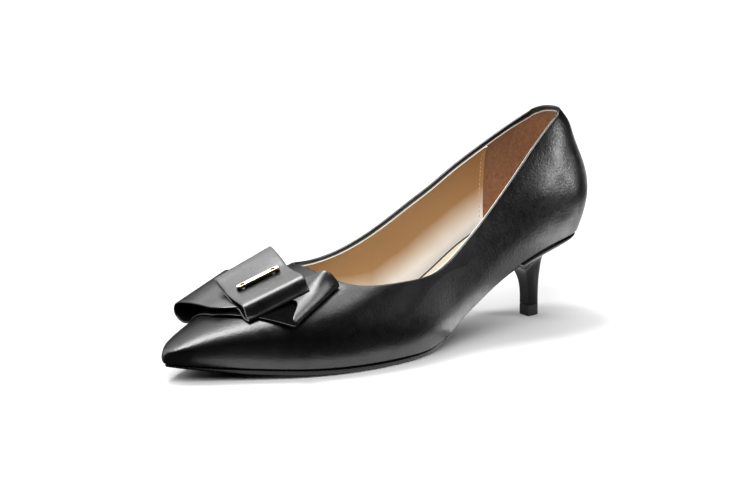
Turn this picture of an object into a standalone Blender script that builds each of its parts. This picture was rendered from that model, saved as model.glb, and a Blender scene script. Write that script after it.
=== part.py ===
"""Left pump with a pointed toe, a slim kitten heel and a stacked folded bow pinned by a thin bar.

Metres, +Z up, the toe towards -Y and the outer (lateral) side towards +X.
"""
import math

import bmesh
import bpy
import numpy as np

# Driving dimensions
LENGTH = 0.2545
BALL_WIDTH = 0.074
HEEL_HEIGHT = 0.046
INSTEP_HEIGHT = 0.047
UPPER_WALL = 0.0018
INSOLE_THICKNESS = 0.0025
SOLE_THICKNESS = 0.0026
GAP = 0.0003

# Sections of the last from the heel back (station 0) to the toe (station 1).
# axis, lateral, medial, bulge and ridge_x are shares of BALL_WIDTH, bottom and bulge_up of
# HEEL_HEIGHT, ridge of INSTEP_HEIGHT; fullness swells or hollows the side of the crown.
SECTION_COLUMNS = (
    "station", "axis", "lateral", "medial", "bottom", "bulge", "bulge_up", "ridge", "ridge_x", "fullness")
SECTIONS = (
    (0.00, 0.000, 0.000, 0.000, 0.990, 0.020, 0.48, 2.62, 0.00, -0.15),
    (0.03, 0.000, 0.235, 0.235, 0.985, 0.030, 0.48, 2.58, 0.00, -0.18),
    (0.10, 0.000, 0.330, 0.330, 0.955, 0.040, 0.46, 2.45, 0.00, -0.18),
    (0.20, 0.000, 0.345, 0.335, 0.805, 0.050, 0.45, 2.22, 0.00, -0.05),
    (0.26, 0.000, 0.340, 0.325, 0.645, 0.055, 0.44, 2.05, 0.00, 0.03),
    (0.31, 0.000, 0.340, 0.312, 0.470, 0.060, 0.43, 1.88, -0.01, 0.06),
    (0.36, 0.000, 0.355, 0.302, 0.302, 0.062, 0.42, 1.72, -0.02, 0.08),
    (0.41, 0.000, 0.392, 0.298, 0.145, 0.060, 0.41, 1.57, -0.02, 0.10),
    (0.46, 0.000, 0.450, 0.305, 0.071, 0.055, 0.40, 1.43, -0.03, 0.10),
    (0.52, 0.000, 0.500, 0.333, 0.061, 0.048, 0.39, 1.30, -0.03, 0.08),
    (0.58, 0.000, 0.515, 0.380, 0.061, 0.043, 0.38, 1.18, -0.04, 0.05),
    (0.66, 0.000, 0.500, 0.450, 0.068, 0.038, 0.37, 1.00, -0.04, 0.05),
    (0.75, 0.000, 0.430, 0.470, 0.090, 0.035, 0.33, 0.84, -0.04, 0.05),
    (0.84, -0.010, 0.285, 0.370, 0.120, 0.030, 0.29, 0.70, -0.03, 0.05),
    (0.92, -0.030, 0.150, 0.215, 0.155, 0.028, 0.23, 0.57, -0.02, 0.05),
    (0.98, -0.045, 0.062, 0.080, 0.195, 0.020, 0.16, 0.42, -0.01, 0.05),
    (1.00, -0.050, 0.000, 0.000, 0.205, 0.010, 0.13, 0.34, 0.00, 0.05),
)
COLUMN_UNITS = {
    "axis": BALL_WIDTH, "lateral": BALL_WIDTH, "medial": BALL_WIDTH, "bulge": BALL_WIDTH,
    "ridge_x": BALL_WIDTH, "bottom": HEEL_HEIGHT, "bulge_up": HEEL_HEIGHT, "ridge": INSTEP_HEIGHT,
    "fullness": 1.0}
LEVEL_COLUMNS = ("axis", "bottom", "bulge", "bulge_up", "ridge_x", "fullness")
# The bulge fades out where the last is narrower than this, at the toe and the heel back
BULGE_FADE_WIDTH = 0.1 * BALL_WIDTH

# Back of the heel: height above the seat, and how far the back sits forward of its fullest point
BACK_CURVE = (
    (0.000, 0.0060), (0.010, 0.0022), (0.022, 0.0000), (0.036, 0.0028),
    (0.050, 0.0085), (0.064, 0.0150), (0.090, 0.0260))
BACK_REACH = 0.34

# Topline: feather station of a column of the upper, the station that it ends at on the topline,
# and the crown angle in degrees that it ends at on each side
TOPLINE_COLUMNS = ("feather", "station", "lateral", "medial")
TOPLINE = (
    (0.00, 0.000, 47.0, 47.0),
    (0.05, 0.050, 49.0, 43.0),
    (0.14, 0.140, 45.0, 37.0),
    (0.28, 0.280, 32.0, 37.0),
    (0.42, 0.420, 27.5, 45.0),
    (0.55, 0.530, 31.0, 39.0),
    (0.70, 0.610, 41.0, 43.0),
    (0.86, 0.655, 58.0, 62.0),
    (1.00, 0.668, 90.0, 90.0),
)
# Behind this station the columns of the upper run straight up, and before it they fan to the throat
FAN_STATION = 0.42

# Outsole: how far its edge stands out from the feather line, by station, and where the heel begins
BREAST_STATION = 0.204
SOLE_EDGE = (
    (0.20, -0.0025), (0.36, -0.0022), (0.46, -0.0004), (0.54, 0.0006), (0.85, 0.0006), (1.00, -0.0002))

# Heel: each row is a section at a share of the way down from the seat. width is its share of the
# seat's width, and front and back are how far its ends have moved from the seat's to the tip's.
HEEL_TIP_Y = 0.0984
HEEL_TIP_HALF_LENGTH = 0.0041
HEEL_SEAT_INSET = 0.0008
TOP_PIECE_HEIGHT = 0.006
HEEL_COLUMNS = ("down", "width", "front", "back")
HEEL_ROWS = (
    (0.00, 1.000, 0.000, 0.000),
    (0.03, 1.000, 0.000, 0.000),
    (0.08, 0.820, 0.100, 0.130),
    (0.14, 0.590, 0.270, 0.330),
    (0.21, 0.400, 0.480, 0.560),
    (0.30, 0.260, 0.700, 0.780),
    (0.45, 0.190, 0.880, 0.900),
    (0.70, 0.150, 0.980, 0.980),
    (1.00, 0.148, 1.000, 1.000),
)

# Bow loops: the middle of the strip at each section, going round the loop from the pinned middle,
# under the inner end, back over the top and under the outer end. turn is the angle of the strip's
# width to the shoe's length in degrees, pitch its rise towards the heel, and clear its least
# height above the vamp. Places are in millimetres.
MILLIMETRE = 0.001
BOW_COLUMNS = ("x", "y", "z", "turn", "pitch", "clear")
BOW_WIDTH = 0.034
BOW_THICKNESS = 0.0008
BOW_PINNED_ROW = 6
BOW_LOWER = (
    (-3.5, -75.0, 37.1, 0.0, 0.29, 1.1),
    (-12.0, -75.0, 36.2, 0.0, 0.30, 1.1),
    (-20.0, -75.2, 34.4, 0.0, 0.33, 1.1),
    (-28.0, -75.6, 30.0, 1.0, 0.37, 1.1),
    (-35.0, -76.2, 25.0, 2.0, 0.40, 1.1),
    (-42.0, -76.8, 22.8, 3.0, 0.40, 1.1),
    (-46.5, -77.0, 27.0, 4.0, 0.40, 1.8),
    (-42.0, -76.8, 31.6, 3.0, 0.40, 2.6),
    (-32.0, -76.0, 34.4, 2.0, 0.37, 2.6),
    (-20.0, -75.2, 36.6, 0.0, 0.33, 2.6),
    (-3.5, -75.0, 38.6, 0.0, 0.29, 2.6),
    (8.0, -70.0, 39.0, -2.0, 0.33, 2.6),
    (18.0, -63.5, 38.6, -4.0, 0.40, 2.7),
    (24.0, -59.5, 37.6, -6.0, 0.48, 2.9),
    (27.0, -57.6, 36.6, -6.0, 0.50, 3.1),
    (28.4, -56.8, 35.0, -6.0, 0.50, 2.1),
    (27.0, -57.6, 33.8, -6.0, 0.50, 1.0),
    (24.0, -59.5, 35.0, -6.0, 0.48, 1.1),
    (18.0, -63.5, 36.6, -4.0, 0.40, 1.1),
    (8.0, -70.0, 37.5, -2.0, 0.33, 1.1),
)
BOW_UPPER = (
    (-3.5, -70.5, 41.6, 4.0, 0.30, 4.2),
    (-14.0, -68.2, 43.5, 2.0, 0.32, 4.2),
    (-22.0, -66.5, 44.7, 1.0, 0.33, 4.2),
    (-26.5, -65.6, 46.6, 0.0, 0.33, 4.8),
    (-22.0, -66.5, 48.2, 1.0, 0.33, 5.7),
    (-14.0, -68.2, 45.4, 2.0, 0.32, 5.7),
    (-3.5, -70.5, 43.4, 4.0, 0.30, 5.7),
    (5.0, -71.3, 42.9, 6.0, 0.31, 5.9),
    (10.0, -71.9, 42.6, 7.5, 0.32, 5.9),
    (13.0, -72.2, 41.5, 8.4, 0.33, 5.9),
    (15.5, -72.4, 40.2, 9.0, 0.34, 6.0),
    (18.0, -72.6, 38.9, 9.4, 0.35, 6.3),
    (19.4, -72.7, 37.5, 9.5, 0.35, 5.1),
    (18.0, -72.6, 36.3, 9.4, 0.35, 3.8),
    (14.0, -72.2, 38.4, 8.5, 0.34, 4.1),
    (8.0, -71.6, 40.2, 6.5, 0.32, 4.2),
)

# Bar that pins the bow's upper loop at its pinned row, with a pin hole near each end
BAR_LENGTH = 0.0265
BAR_SEAT_GAP = 0.0005
BAR_WIDTH = 0.0026
BAR_THICKNESS = 0.0014
BAR_HOLE_RADIUS = 0.00055
BAR_HOLE_INSET = 0.0026
BAR_CURVE_POINTS = 8

# Finishes: colour, roughness and metallic value
FINISHES = {
    "black_leather": ((0.012, 0.012, 0.013), 0.35, 0.0),
    "cream_sock": ((0.72, 0.62, 0.50), 0.60, 0.0),
    "black_sole": ((0.010, 0.010, 0.010), 0.30, 0.0),
    "black_gloss": ((0.008, 0.008, 0.009), 0.15, 0.0),
    "black_rubber": ((0.015, 0.015, 0.015), 0.60, 0.0),
    "black_bow_leather": ((0.014, 0.014, 0.015), 0.30, 0.0),
    "pale_gold": ((0.83, 0.68, 0.40), 0.25, 1.0),
}

# How finely the surfaces are cut
SIDE_COLUMNS = 46
WALL_ROWS = 3
CROWN_ROWS = 8
SOLE_ROWS = 40
SOLE_CELLS = 4
HEEL_SIDE_POINTS = 14
BOW_SPANS = 3
BOW_CELLS = 6
BISECTIONS = 40
SHARP_ANGLE = math.radians(40)
TOE_WIDTH_LEFT = 0.001
MERGE = 1e-6

LATERAL = 1
MEDIAL = -1
RIGHT_ANGLE = math.pi / 2


def spline(knots, values, level_ends):
    """Cubic spline through the knots, with level or natural ends."""
    knots = np.asarray(knots, float)
    values = np.asarray(values, float)
    count = len(knots)
    step = np.diff(knots)
    slope = np.diff(values) / step
    matrix = np.zeros((count, count))
    right = np.zeros(count)
    for i in range(1, count - 1):
        matrix[i, i - 1:i + 2] = step[i - 1], 2 * (step[i - 1] + step[i]), step[i]
        right[i] = 6 * (slope[i] - slope[i - 1])
    if level_ends:
        matrix[0, :2] = 2 * step[0], step[0]
        matrix[-1, -2:] = step[-1], 2 * step[-1]
        right[0] = 6 * slope[0]
        right[-1] = -6 * slope[-1]
    else:
        matrix[0, 0] = 1
        matrix[-1, -1] = 1
    bend = np.linalg.solve(matrix, right)

    def value_at(place):
        place = np.clip(np.asarray(place, float), knots[0], knots[-1])
        i = np.clip(np.searchsorted(knots, place, side="right") - 1, 0, count - 2)
        before = place - knots[i]
        after = knots[i + 1] - place
        cubic = (bend[i] * after**3 + bend[i + 1] * before**3) / (6 * step[i])
        start = (values[i] / step[i] - bend[i] * step[i] / 6) * after
        end = (values[i + 1] / step[i] - bend[i + 1] * step[i] / 6) * before
        return cubic + start + end

    return value_at


def closed_spline(rows, spans):
    """Points of a smooth closed curve through the rows, with spans points from each row to the next."""
    rows = np.asarray(rows, float)
    before = np.roll(rows, 1, axis=0)
    after = np.roll(rows, -1, axis=0)
    beyond = np.roll(rows, -2, axis=0)
    points = []
    for share in np.arange(spans) / spans:
        straight = (after - before) * share
        curve = (2 * before - 5 * rows + 4 * after - beyond) * share**2
        turn_back = (3 * rows - before - 3 * after + beyond) * share**3
        points.append(rows + (straight + curve + turn_back) / 2)
    return np.stack(points, axis=1).reshape(-1, rows.shape[1])


def turn(station):
    """Station as a share of a half turn, so that both ends of the last come out round."""
    return np.arccos(np.clip(1 - 2 * np.asarray(station, float), -1, 1)) / np.pi


def station_from_turn(share):
    return (1 - np.cos(np.pi * share)) / 2


def section_splines():
    """One spline along the last for each column of the section table."""
    table = np.array(SECTIONS)
    knots = turn(table[:, 0])
    splines = {}
    for i, name in enumerate(SECTION_COLUMNS[1:], start=1):
        splines[name] = spline(knots, table[:, i] * COLUMN_UNITS[name], name in LEVEL_COLUMNS)
    return splines


LAST = section_splines()
BACK = spline([row[0] for row in BACK_CURVE], [row[1] for row in BACK_CURVE], False)


def last_value(name, station):
    return LAST[name](turn(station))


def length_at(station, height_above_seat):
    """Y of a point of the last; the back of the heel leans forward with height."""
    share = np.clip(1 - np.asarray(station) / BACK_REACH, 0, 1) ** 2
    forward = BACK(np.clip(height_above_seat, 0, BACK_CURVE[-1][0]))
    return LENGTH / 2 - station * LENGTH - share * forward


def station_at(y):
    """Station of a plan point, leaving out the lean of the heel's back."""
    return np.clip(0.5 - np.asarray(y) / LENGTH, 0, 1)


def half_widths(station, side):
    """Half width at the feather line and at the bulge above it."""
    feather = last_value("lateral" if side == LATERAL else "medial", station)
    fade = np.minimum(1, feather / BULGE_FADE_WIDTH)
    return feather, feather + last_value("bulge", station) * fade


def place(x, station, z):
    """Points of the last as an array with x, y and z in its last axis."""
    y = length_at(station, z - last_value("bottom", station))
    return np.stack(np.broadcast_arrays(x, y, z), axis=-1)


def wall_point(station, side, share):
    """The side's roll from the feather line (share 0) out to the bulge (share 1)."""
    feather, widest = half_widths(station, side)
    x = last_value("axis", station) + side * (feather + (widest - feather) * (1 - (1 - share) ** 2))
    z = last_value("bottom", station) + last_value("bulge_up", station) * share
    return place(x, station, z)


def crown_sizes(station, side, grow=0.0):
    """Middle line, reach to the side, springing height and rise of the crown's section."""
    middle = last_value("axis", station) + last_value("ridge_x", station)
    reach = half_widths(station, side)[1] - side * last_value("ridge_x", station) + grow
    springing = last_value("bottom", station) + last_value("bulge_up", station)
    rise = last_value("ridge", station) + grow - springing
    return middle, np.maximum(reach, MERGE), springing, rise


def crown_reach(angle, fullness):
    """Share of the reach at an angle of the crown, from 1 at the bulge to 0 on the ridge."""
    return np.cos(angle) * (1 + fullness * np.sin(angle) ** 2)


def crown_height(x, station, side, grow=0.0):
    """Height of the crown over a plan point, on the last or on a form grown from it."""
    middle, reach, springing, rise = crown_sizes(station, side, grow)
    fullness = last_value("fullness", station)
    wanted = np.clip(side * (x - middle) / reach, 0, 1)
    low = np.zeros_like(wanted)
    high = np.full_like(wanted, RIGHT_ANGLE)
    for _ in range(BISECTIONS):
        angle = (low + high) / 2
        outside = crown_reach(angle, fullness) > wanted
        low = np.where(outside, angle, low)
        high = np.where(outside, high, angle)
    return springing + rise * np.sin((low + high) / 2)


def topline_end(feather, side):
    """Plan place and station where a column of the upper ends on the topline, and its crown angle."""
    table = np.array(TOPLINE)
    knots = turn(table[:, 0])
    column = TOPLINE_COLUMNS.index("lateral" if side == LATERAL else "medial")
    station = spline(knots, table[:, 1], True)(turn(feather))
    angle = spline(knots, np.radians(table[:, column]), False)(turn(feather))
    middle, reach, _, _ = crown_sizes(station, side)
    x = middle + side * reach * crown_reach(angle, last_value("fullness", station))
    return x, station, angle


def upper_columns(feather, side):
    """Columns of the upper's outer face on one side, each from the feather line up to the topline."""
    rows = [wall_point(feather, side, share) for share in np.arange(WALL_ROWS + 1) / WALL_ROWS]
    x_start = last_value("axis", feather) + side * half_widths(feather, side)[1]
    x_end, station_end, angle_end = topline_end(feather, side)
    fullness = last_value("fullness", station_end)
    for step in range(1, CROWN_ROWS + 1):
        reach = crown_reach(angle_end * step / CROWN_ROWS, fullness)
        share = (1 - reach) / (1 - crown_reach(angle_end, fullness))
        x = x_start + (x_end - x_start) * share
        station = feather + (station_end - feather) * share
        _, _, springing, rise = crown_sizes(station, side)
        straight_up = springing + rise * np.sin(angle_end * step / CROWN_ROWS)
        fanned = crown_height(x, station, side)
        rows.append(place(x, station, np.where(feather < FAN_STATION, straight_up, fanned)))
    return np.stack(rows, axis=1)


def vamp_height(x, y, clear):
    """Height of the vamp grown by a clearance; well below everything beside the shoe."""
    station = station_at(y)
    height = np.zeros_like(x)
    for side in (LATERAL, MEDIAL):
        middle, reach, _, _ = crown_sizes(station, side, clear)
        inside = (side * (x - middle) >= 0) & (side * (x - middle) < reach)
        height = np.where(inside, crown_height(x, station, side, clear), height)
    return height


def feather_sides(stations, offset):
    """Plan points of both sides of the feather line, moved out by an offset."""
    offset = np.broadcast_to(offset, stations.shape)
    sides = []
    for side in (LATERAL, MEDIAL):
        line = wall_point(stations, side, 0.0)[:, :2]
        along = np.gradient(line, turn(stations), axis=0)
        along[stations <= 0] = (side, 0)
        along[stations >= 1] = (-side, 0)
        along /= np.linalg.norm(along, axis=1, keepdims=True)
        normal = side * np.stack([-along[:, 1], along[:, 0]], axis=1)
        sides.append(line + normal * offset[:, None])
    return sides


def bottom_height(y):
    """Height of the last's underside at a plan point."""
    return last_value("bottom", station_at(y))


def grid_faces(rows, columns, closed_rows=False):
    """Quads of a grid of vertices, wrapping round its rows where they close."""
    faces = []
    for i in range(rows if closed_rows else rows - 1):
        for j in range(columns - 1):
            here = i * columns + j
            beyond = (i + 1) % rows * columns + j
            faces.append((here, here + 1, beyond + 1, beyond))
    return faces


def make_material(name):
    """A plain finish from the table of finishes."""
    colour, roughness, metallic = FINISHES[name]
    material = bpy.data.materials.new(name)
    material.use_nodes = True
    shader = material.node_tree.nodes["Principled BSDF"]
    shader.inputs["Base Color"].default_value = (*colour, 1.0)
    shader.inputs["Roughness"].default_value = roughness
    shader.inputs["Metallic"].default_value = metallic
    return material


def make_piece(name, vertices, faces, finish, collection):
    """A mesh object with its coincident vertices merged and its faces turned outwards together."""
    mesh = bpy.data.meshes.new(name)
    mesh.from_pydata(np.asarray(vertices).reshape(-1, 3).tolist(), [], faces)
    shape = bmesh.new()
    shape.from_mesh(mesh)
    bmesh.ops.remove_doubles(shape, verts=shape.verts, dist=MERGE)
    bmesh.ops.recalc_face_normals(shape, faces=shape.faces)
    shape.to_mesh(mesh)
    shape.free()
    mesh.shade_smooth()
    mesh.set_sharp_from_angle(angle=SHARP_ANGLE)
    mesh.materials.append(make_material(finish))
    piece = bpy.data.objects.new(name, mesh)
    collection.objects.link(piece)
    return piece


def thicken(piece, thickness, offset, even=True):
    """Give an open surface its thickness: offset -1 inwards, 0 both ways, 1 outwards."""
    modifier = piece.modifiers.new("Thickness", "SOLIDIFY")
    modifier.thickness = thickness
    modifier.offset = offset
    modifier.use_even_offset = even
    return piece


def make_upper(collection):
    """Lasted shell, open at the collar and underneath."""
    stations = station_from_turn(np.arange(SIDE_COLUMNS + 1) / SIDE_COLUMNS)
    lateral = upper_columns(stations, LATERAL)
    medial = upper_columns(stations[-2:0:-1], MEDIAL)
    columns = np.concatenate([lateral, medial])
    faces = grid_faces(len(columns), columns.shape[1], closed_rows=True)
    return thicken(make_piece("upper", columns, faces, "black_leather", collection), UPPER_WALL, -1.0)


def sheet_between(lateral, medial):
    """Rows of plan points across the sole, from its lateral to its medial edge."""
    share = (np.arange(SOLE_CELLS + 1) / SOLE_CELLS)[None, :, None]
    return lateral[:, None, :] * (1 - share) + medial[:, None, :] * share


def make_insole(collection):
    """Insole inside the upper, following the underside of the last."""
    stations = station_from_turn(np.arange(SOLE_ROWS + 1) / SOLE_ROWS)
    lateral, medial = feather_sides(stations, -UPPER_WALL - GAP)
    kept = (lateral[:, 0] - medial[:, 0] > TOE_WIDTH_LEFT) | (stations <= 0)
    plan = sheet_between(lateral[kept], medial[kept])
    sheet = np.concatenate([plan, bottom_height(plan[..., 1])[..., None]], axis=-1)
    faces = grid_faces(sheet.shape[0], sheet.shape[1])
    return thicken(make_piece("insole", sheet, faces, "cream_sock", collection), INSOLE_THICKNESS, 1.0)


def make_outsole(collection):
    """Sole from the heel breast to the toe, flat on the floor under the ball."""
    start = turn(BREAST_STATION + GAP / LENGTH)
    stations = station_from_turn(start + (1 - start) * np.arange(SOLE_ROWS + 1) / SOLE_ROWS)
    edge = spline([row[0] for row in SOLE_EDGE], [row[1] for row in SOLE_EDGE], True)
    lateral, medial = feather_sides(stations, edge(stations))
    plan = sheet_between(lateral, medial)
    top = bottom_height(plan[..., 1])[..., None] - GAP
    low = np.maximum(top - SOLE_THICKNESS, 0)
    rows, columns = plan.shape[:2]
    vertices = np.concatenate([np.concatenate([plan, top], -1), np.concatenate([plan, low], -1)])
    sheet = grid_faces(rows, columns)
    under = rows * columns
    faces = sheet + [tuple(i + under for i in reversed(face)) for face in sheet]
    rim = [i * columns for i in range(rows)]
    rim += [i * columns + columns - 1 for i in range(rows - 1, -1, -1)]
    first_row = list(range(columns - 2, 0, -1))
    ring = rim + first_row
    for here, beyond in zip(ring, ring[1:] + ring[:1]):
        faces.append((here, beyond, beyond + under, here + under))
    return make_piece("outsole", vertices, faces, "black_sole", collection)


def seat_ring():
    """Plan outline of the heel seat, from the lateral breast corner round the back to the medial one."""
    share = np.arange(HEEL_SIDE_POINTS + 1) / HEEL_SIDE_POINTS
    stations = station_from_turn(turn(BREAST_STATION) * share)
    lateral, medial = feather_sides(stations, -HEEL_SEAT_INSET)
    return np.concatenate([lateral[::-1], medial[1:]])


def heel_section(row):
    """The seat's outline drawn in to the width and ends of one row of the heel."""
    seat = seat_ring()
    row = dict(zip(HEEL_COLUMNS, row))
    front, back = seat[:, 1].min(), seat[:, 1].max()
    length_share = (seat[:, 1] - front) / (back - front)
    row_front = front + (HEEL_TIP_Y - HEEL_TIP_HALF_LENGTH - front) * row["front"]
    row_back = back + (HEEL_TIP_Y + HEEL_TIP_HALF_LENGTH - back) * row["back"]
    return np.stack([seat[:, 0] * row["width"], row_front + (row_back - row_front) * length_share], axis=1)


def loft_rings(name, rings, finish, collection):
    """Solid through rings of equal length, closed across from side to side at both ends."""
    count = rings.shape[1]
    faces = []
    for level in range(len(rings) - 1):
        for i in range(count):
            here = level * count + i
            beside = level * count + (i + 1) % count
            faces.append((here, beside, beside + count, here + count))
    for first in (0, (len(rings) - 1) * count):
        for i in range(count // 2):
            far = count - 1 - i
            corners = [first + i, first + i + 1, first + far - 1, first + far]
            faces.append(tuple(dict.fromkeys(corners)))
    return make_piece(name, rings, faces, finish, collection)


def make_heel(collection):
    """Heel from the seat down to the stem, drawn in along curved rows."""
    seat_z = bottom_height(seat_ring()[:, 1]) - GAP
    rings = []
    for row in HEEL_ROWS:
        z = seat_z + (TOP_PIECE_HEIGHT - seat_z) * row[0]
        rings.append(np.concatenate([heel_section(row), z[:, None]], axis=1))
    return loft_rings("heel", np.array(rings), "black_gloss", collection)


def make_top_piece(collection):
    """Lift under the heel's stem, flat on the floor."""
    tip = heel_section(HEEL_ROWS[-1])
    rings = []
    for z in (TOP_PIECE_HEIGHT - GAP, 0.0):
        rings.append(np.concatenate([tip, np.full((len(tip), 1), z)], axis=1))
    return loft_rings("top_piece", np.array(rings), "black_rubber", collection)


def bow_sheet(table):
    """Points of a loop's strip: rings across its width, each lifted clear of the vamp."""
    columns = dict(zip(BOW_COLUMNS, closed_spline(table, BOW_SPANS).T))
    turned = np.radians(columns["turn"])
    level = BOW_WIDTH / np.sqrt(1 + columns["pitch"] ** 2)
    points = []
    for share in np.arange(BOW_CELLS + 1) / BOW_CELLS - 0.5:
        x = columns["x"] * MILLIMETRE + share * level * np.sin(turned)
        y = columns["y"] * MILLIMETRE + share * level * np.cos(turned)
        z = columns["z"] * MILLIMETRE + share * level * columns["pitch"]
        z = np.maximum(z, vamp_height(x, y, columns["clear"] * MILLIMETRE))
        points.append(np.stack([x, y, z], axis=1))
    return np.stack(points, axis=1)


def make_bow_loop(name, table, collection):
    """A strip folded into a flat loop."""
    sheet = bow_sheet(table)
    faces = grid_faces(sheet.shape[0], sheet.shape[1], closed_rows=True)
    loop = make_piece(name, sheet, faces, "black_bow_leather", collection)
    return thicken(loop, BOW_THICKNESS, 0.0, even=False)


def add_outline(curve, points):
    """A closed outline of straight steps on a flat curve."""
    outline = curve.splines.new("POLY")
    outline.points.add(len(points) - 1)
    for point, (x, y) in zip(outline.points, points):
        point.co = (x, y, 0.0, 1.0)
    outline.use_cyclic_u = True


def arc(centre, radius, start, end, steps):
    """Points of an arc on the bar's own plane, its centre on the bar's long axis."""
    angles = start + (end - start) * np.arange(steps + 1) / steps
    return [(radius * math.cos(angle), centre + radius * math.sin(angle)) for angle in angles]


def make_bar(collection):
    """Round-ended bar with two pin holes, lying along the middle of the upper loop."""
    curve = bpy.data.curves.new("bar", "CURVE")
    curve.dimensions = "2D"
    curve.fill_mode = "BOTH"
    curve.extrude = BAR_THICKNESS / 2
    end = (BAR_LENGTH - BAR_WIDTH) / 2
    outline = arc(end, BAR_WIDTH / 2, 0, math.pi, BAR_CURVE_POINTS)
    outline += arc(-end, BAR_WIDTH / 2, math.pi, 2 * math.pi, BAR_CURVE_POINTS)
    add_outline(curve, outline)
    for hole in (BAR_LENGTH / 2 - BAR_HOLE_INSET, BAR_HOLE_INSET - BAR_LENGTH / 2):
        add_outline(curve, arc(hole, BAR_HOLE_RADIUS, 0, 2 * math.pi, BAR_CURVE_POINTS)[:-1])
    curve.materials.append(make_material("pale_gold"))
    bar = bpy.data.objects.new("bar", curve)
    collection.objects.link(bar)
    under = dict(zip(BOW_COLUMNS, BOW_UPPER[BOW_PINNED_ROW]))
    lift = BOW_THICKNESS / 2 + BAR_SEAT_GAP + BAR_THICKNESS / 2
    bar.location = (
        under["x"] * MILLIMETRE, under["y"] * MILLIMETRE, under["z"] * MILLIMETRE + lift)
    bar.rotation_euler = (math.atan(under["pitch"]), 0.0, -math.radians(under["turn"]))
    return bar


def box_of(pieces):
    """Lowest and highest corner of the pieces as they are evaluated."""
    graph = bpy.context.evaluated_depsgraph_get()
    corners = []
    for piece in pieces:
        evaluated = piece.evaluated_get(graph)
        corners += [evaluated.matrix_world @ vertex.co for vertex in evaluated.to_mesh().vertices]
        evaluated.to_mesh_clear()
    points = np.array(corners)
    return points.min(axis=0), points.max(axis=0)


def stand_on_origin(pieces, collection):
    """Hang the pieces on an empty, so that the origin is under the middle of their box."""
    low, high = box_of(pieces)
    root = bpy.data.objects.new("shoe_origin", None)
    collection.objects.link(root)
    for piece in pieces:
        piece.parent = root
    root.location = (-(low[0] + high[0]) / 2, -(low[1] + high[1]) / 2, -low[2])


def main():
    for item in list(bpy.data.objects):
        bpy.data.objects.remove(item)
    collection = bpy.data.collections.new("kitten_heel_pump")
    bpy.context.scene.collection.children.link(collection)
    pieces = [
        make_upper(collection),
        make_insole(collection),
        make_outsole(collection),
        make_heel(collection),
        make_top_piece(collection),
        make_bow_loop("bow_lower", BOW_LOWER, collection),
        make_bow_loop("bow_upper", BOW_UPPER, collection),
        make_bar(collection),
    ]
    stand_on_origin(pieces, collection)


main()
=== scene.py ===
"""Looks of a left pump: lasted leather upper with its lining, sock, sole, heel, folded bow and gold bar.

Metres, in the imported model's frame: +Z up, the toe towards -Y and the outer (lateral) side towards +X.
"""
import math

import bmesh
import bpy
import numpy as np
from mathutils import Matrix, Vector


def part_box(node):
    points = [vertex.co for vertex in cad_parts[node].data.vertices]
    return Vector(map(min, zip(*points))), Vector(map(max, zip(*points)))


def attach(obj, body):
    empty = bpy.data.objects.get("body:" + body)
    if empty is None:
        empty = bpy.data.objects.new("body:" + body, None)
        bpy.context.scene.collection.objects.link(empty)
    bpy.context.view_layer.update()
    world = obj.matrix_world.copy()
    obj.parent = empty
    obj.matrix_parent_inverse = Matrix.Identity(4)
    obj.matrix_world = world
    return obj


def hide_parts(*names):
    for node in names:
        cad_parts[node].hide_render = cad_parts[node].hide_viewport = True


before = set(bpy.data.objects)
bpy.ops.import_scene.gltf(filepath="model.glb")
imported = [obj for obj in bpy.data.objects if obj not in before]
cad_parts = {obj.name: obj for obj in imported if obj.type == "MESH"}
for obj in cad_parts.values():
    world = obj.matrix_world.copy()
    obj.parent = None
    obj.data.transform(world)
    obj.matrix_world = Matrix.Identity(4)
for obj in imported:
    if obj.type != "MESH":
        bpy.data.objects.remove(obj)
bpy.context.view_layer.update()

# Driving dimensions of the last and its pieces, as in the part's source
LENGTH = 0.2545
BALL_WIDTH = 0.074
HEEL_HEIGHT = 0.046
INSTEP_HEIGHT = 0.047
UPPER_WALL = 0.0018
INSOLE_THICKNESS = 0.0025
SOLE_THICKNESS = 0.0026
GAP = 0.0003

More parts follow.
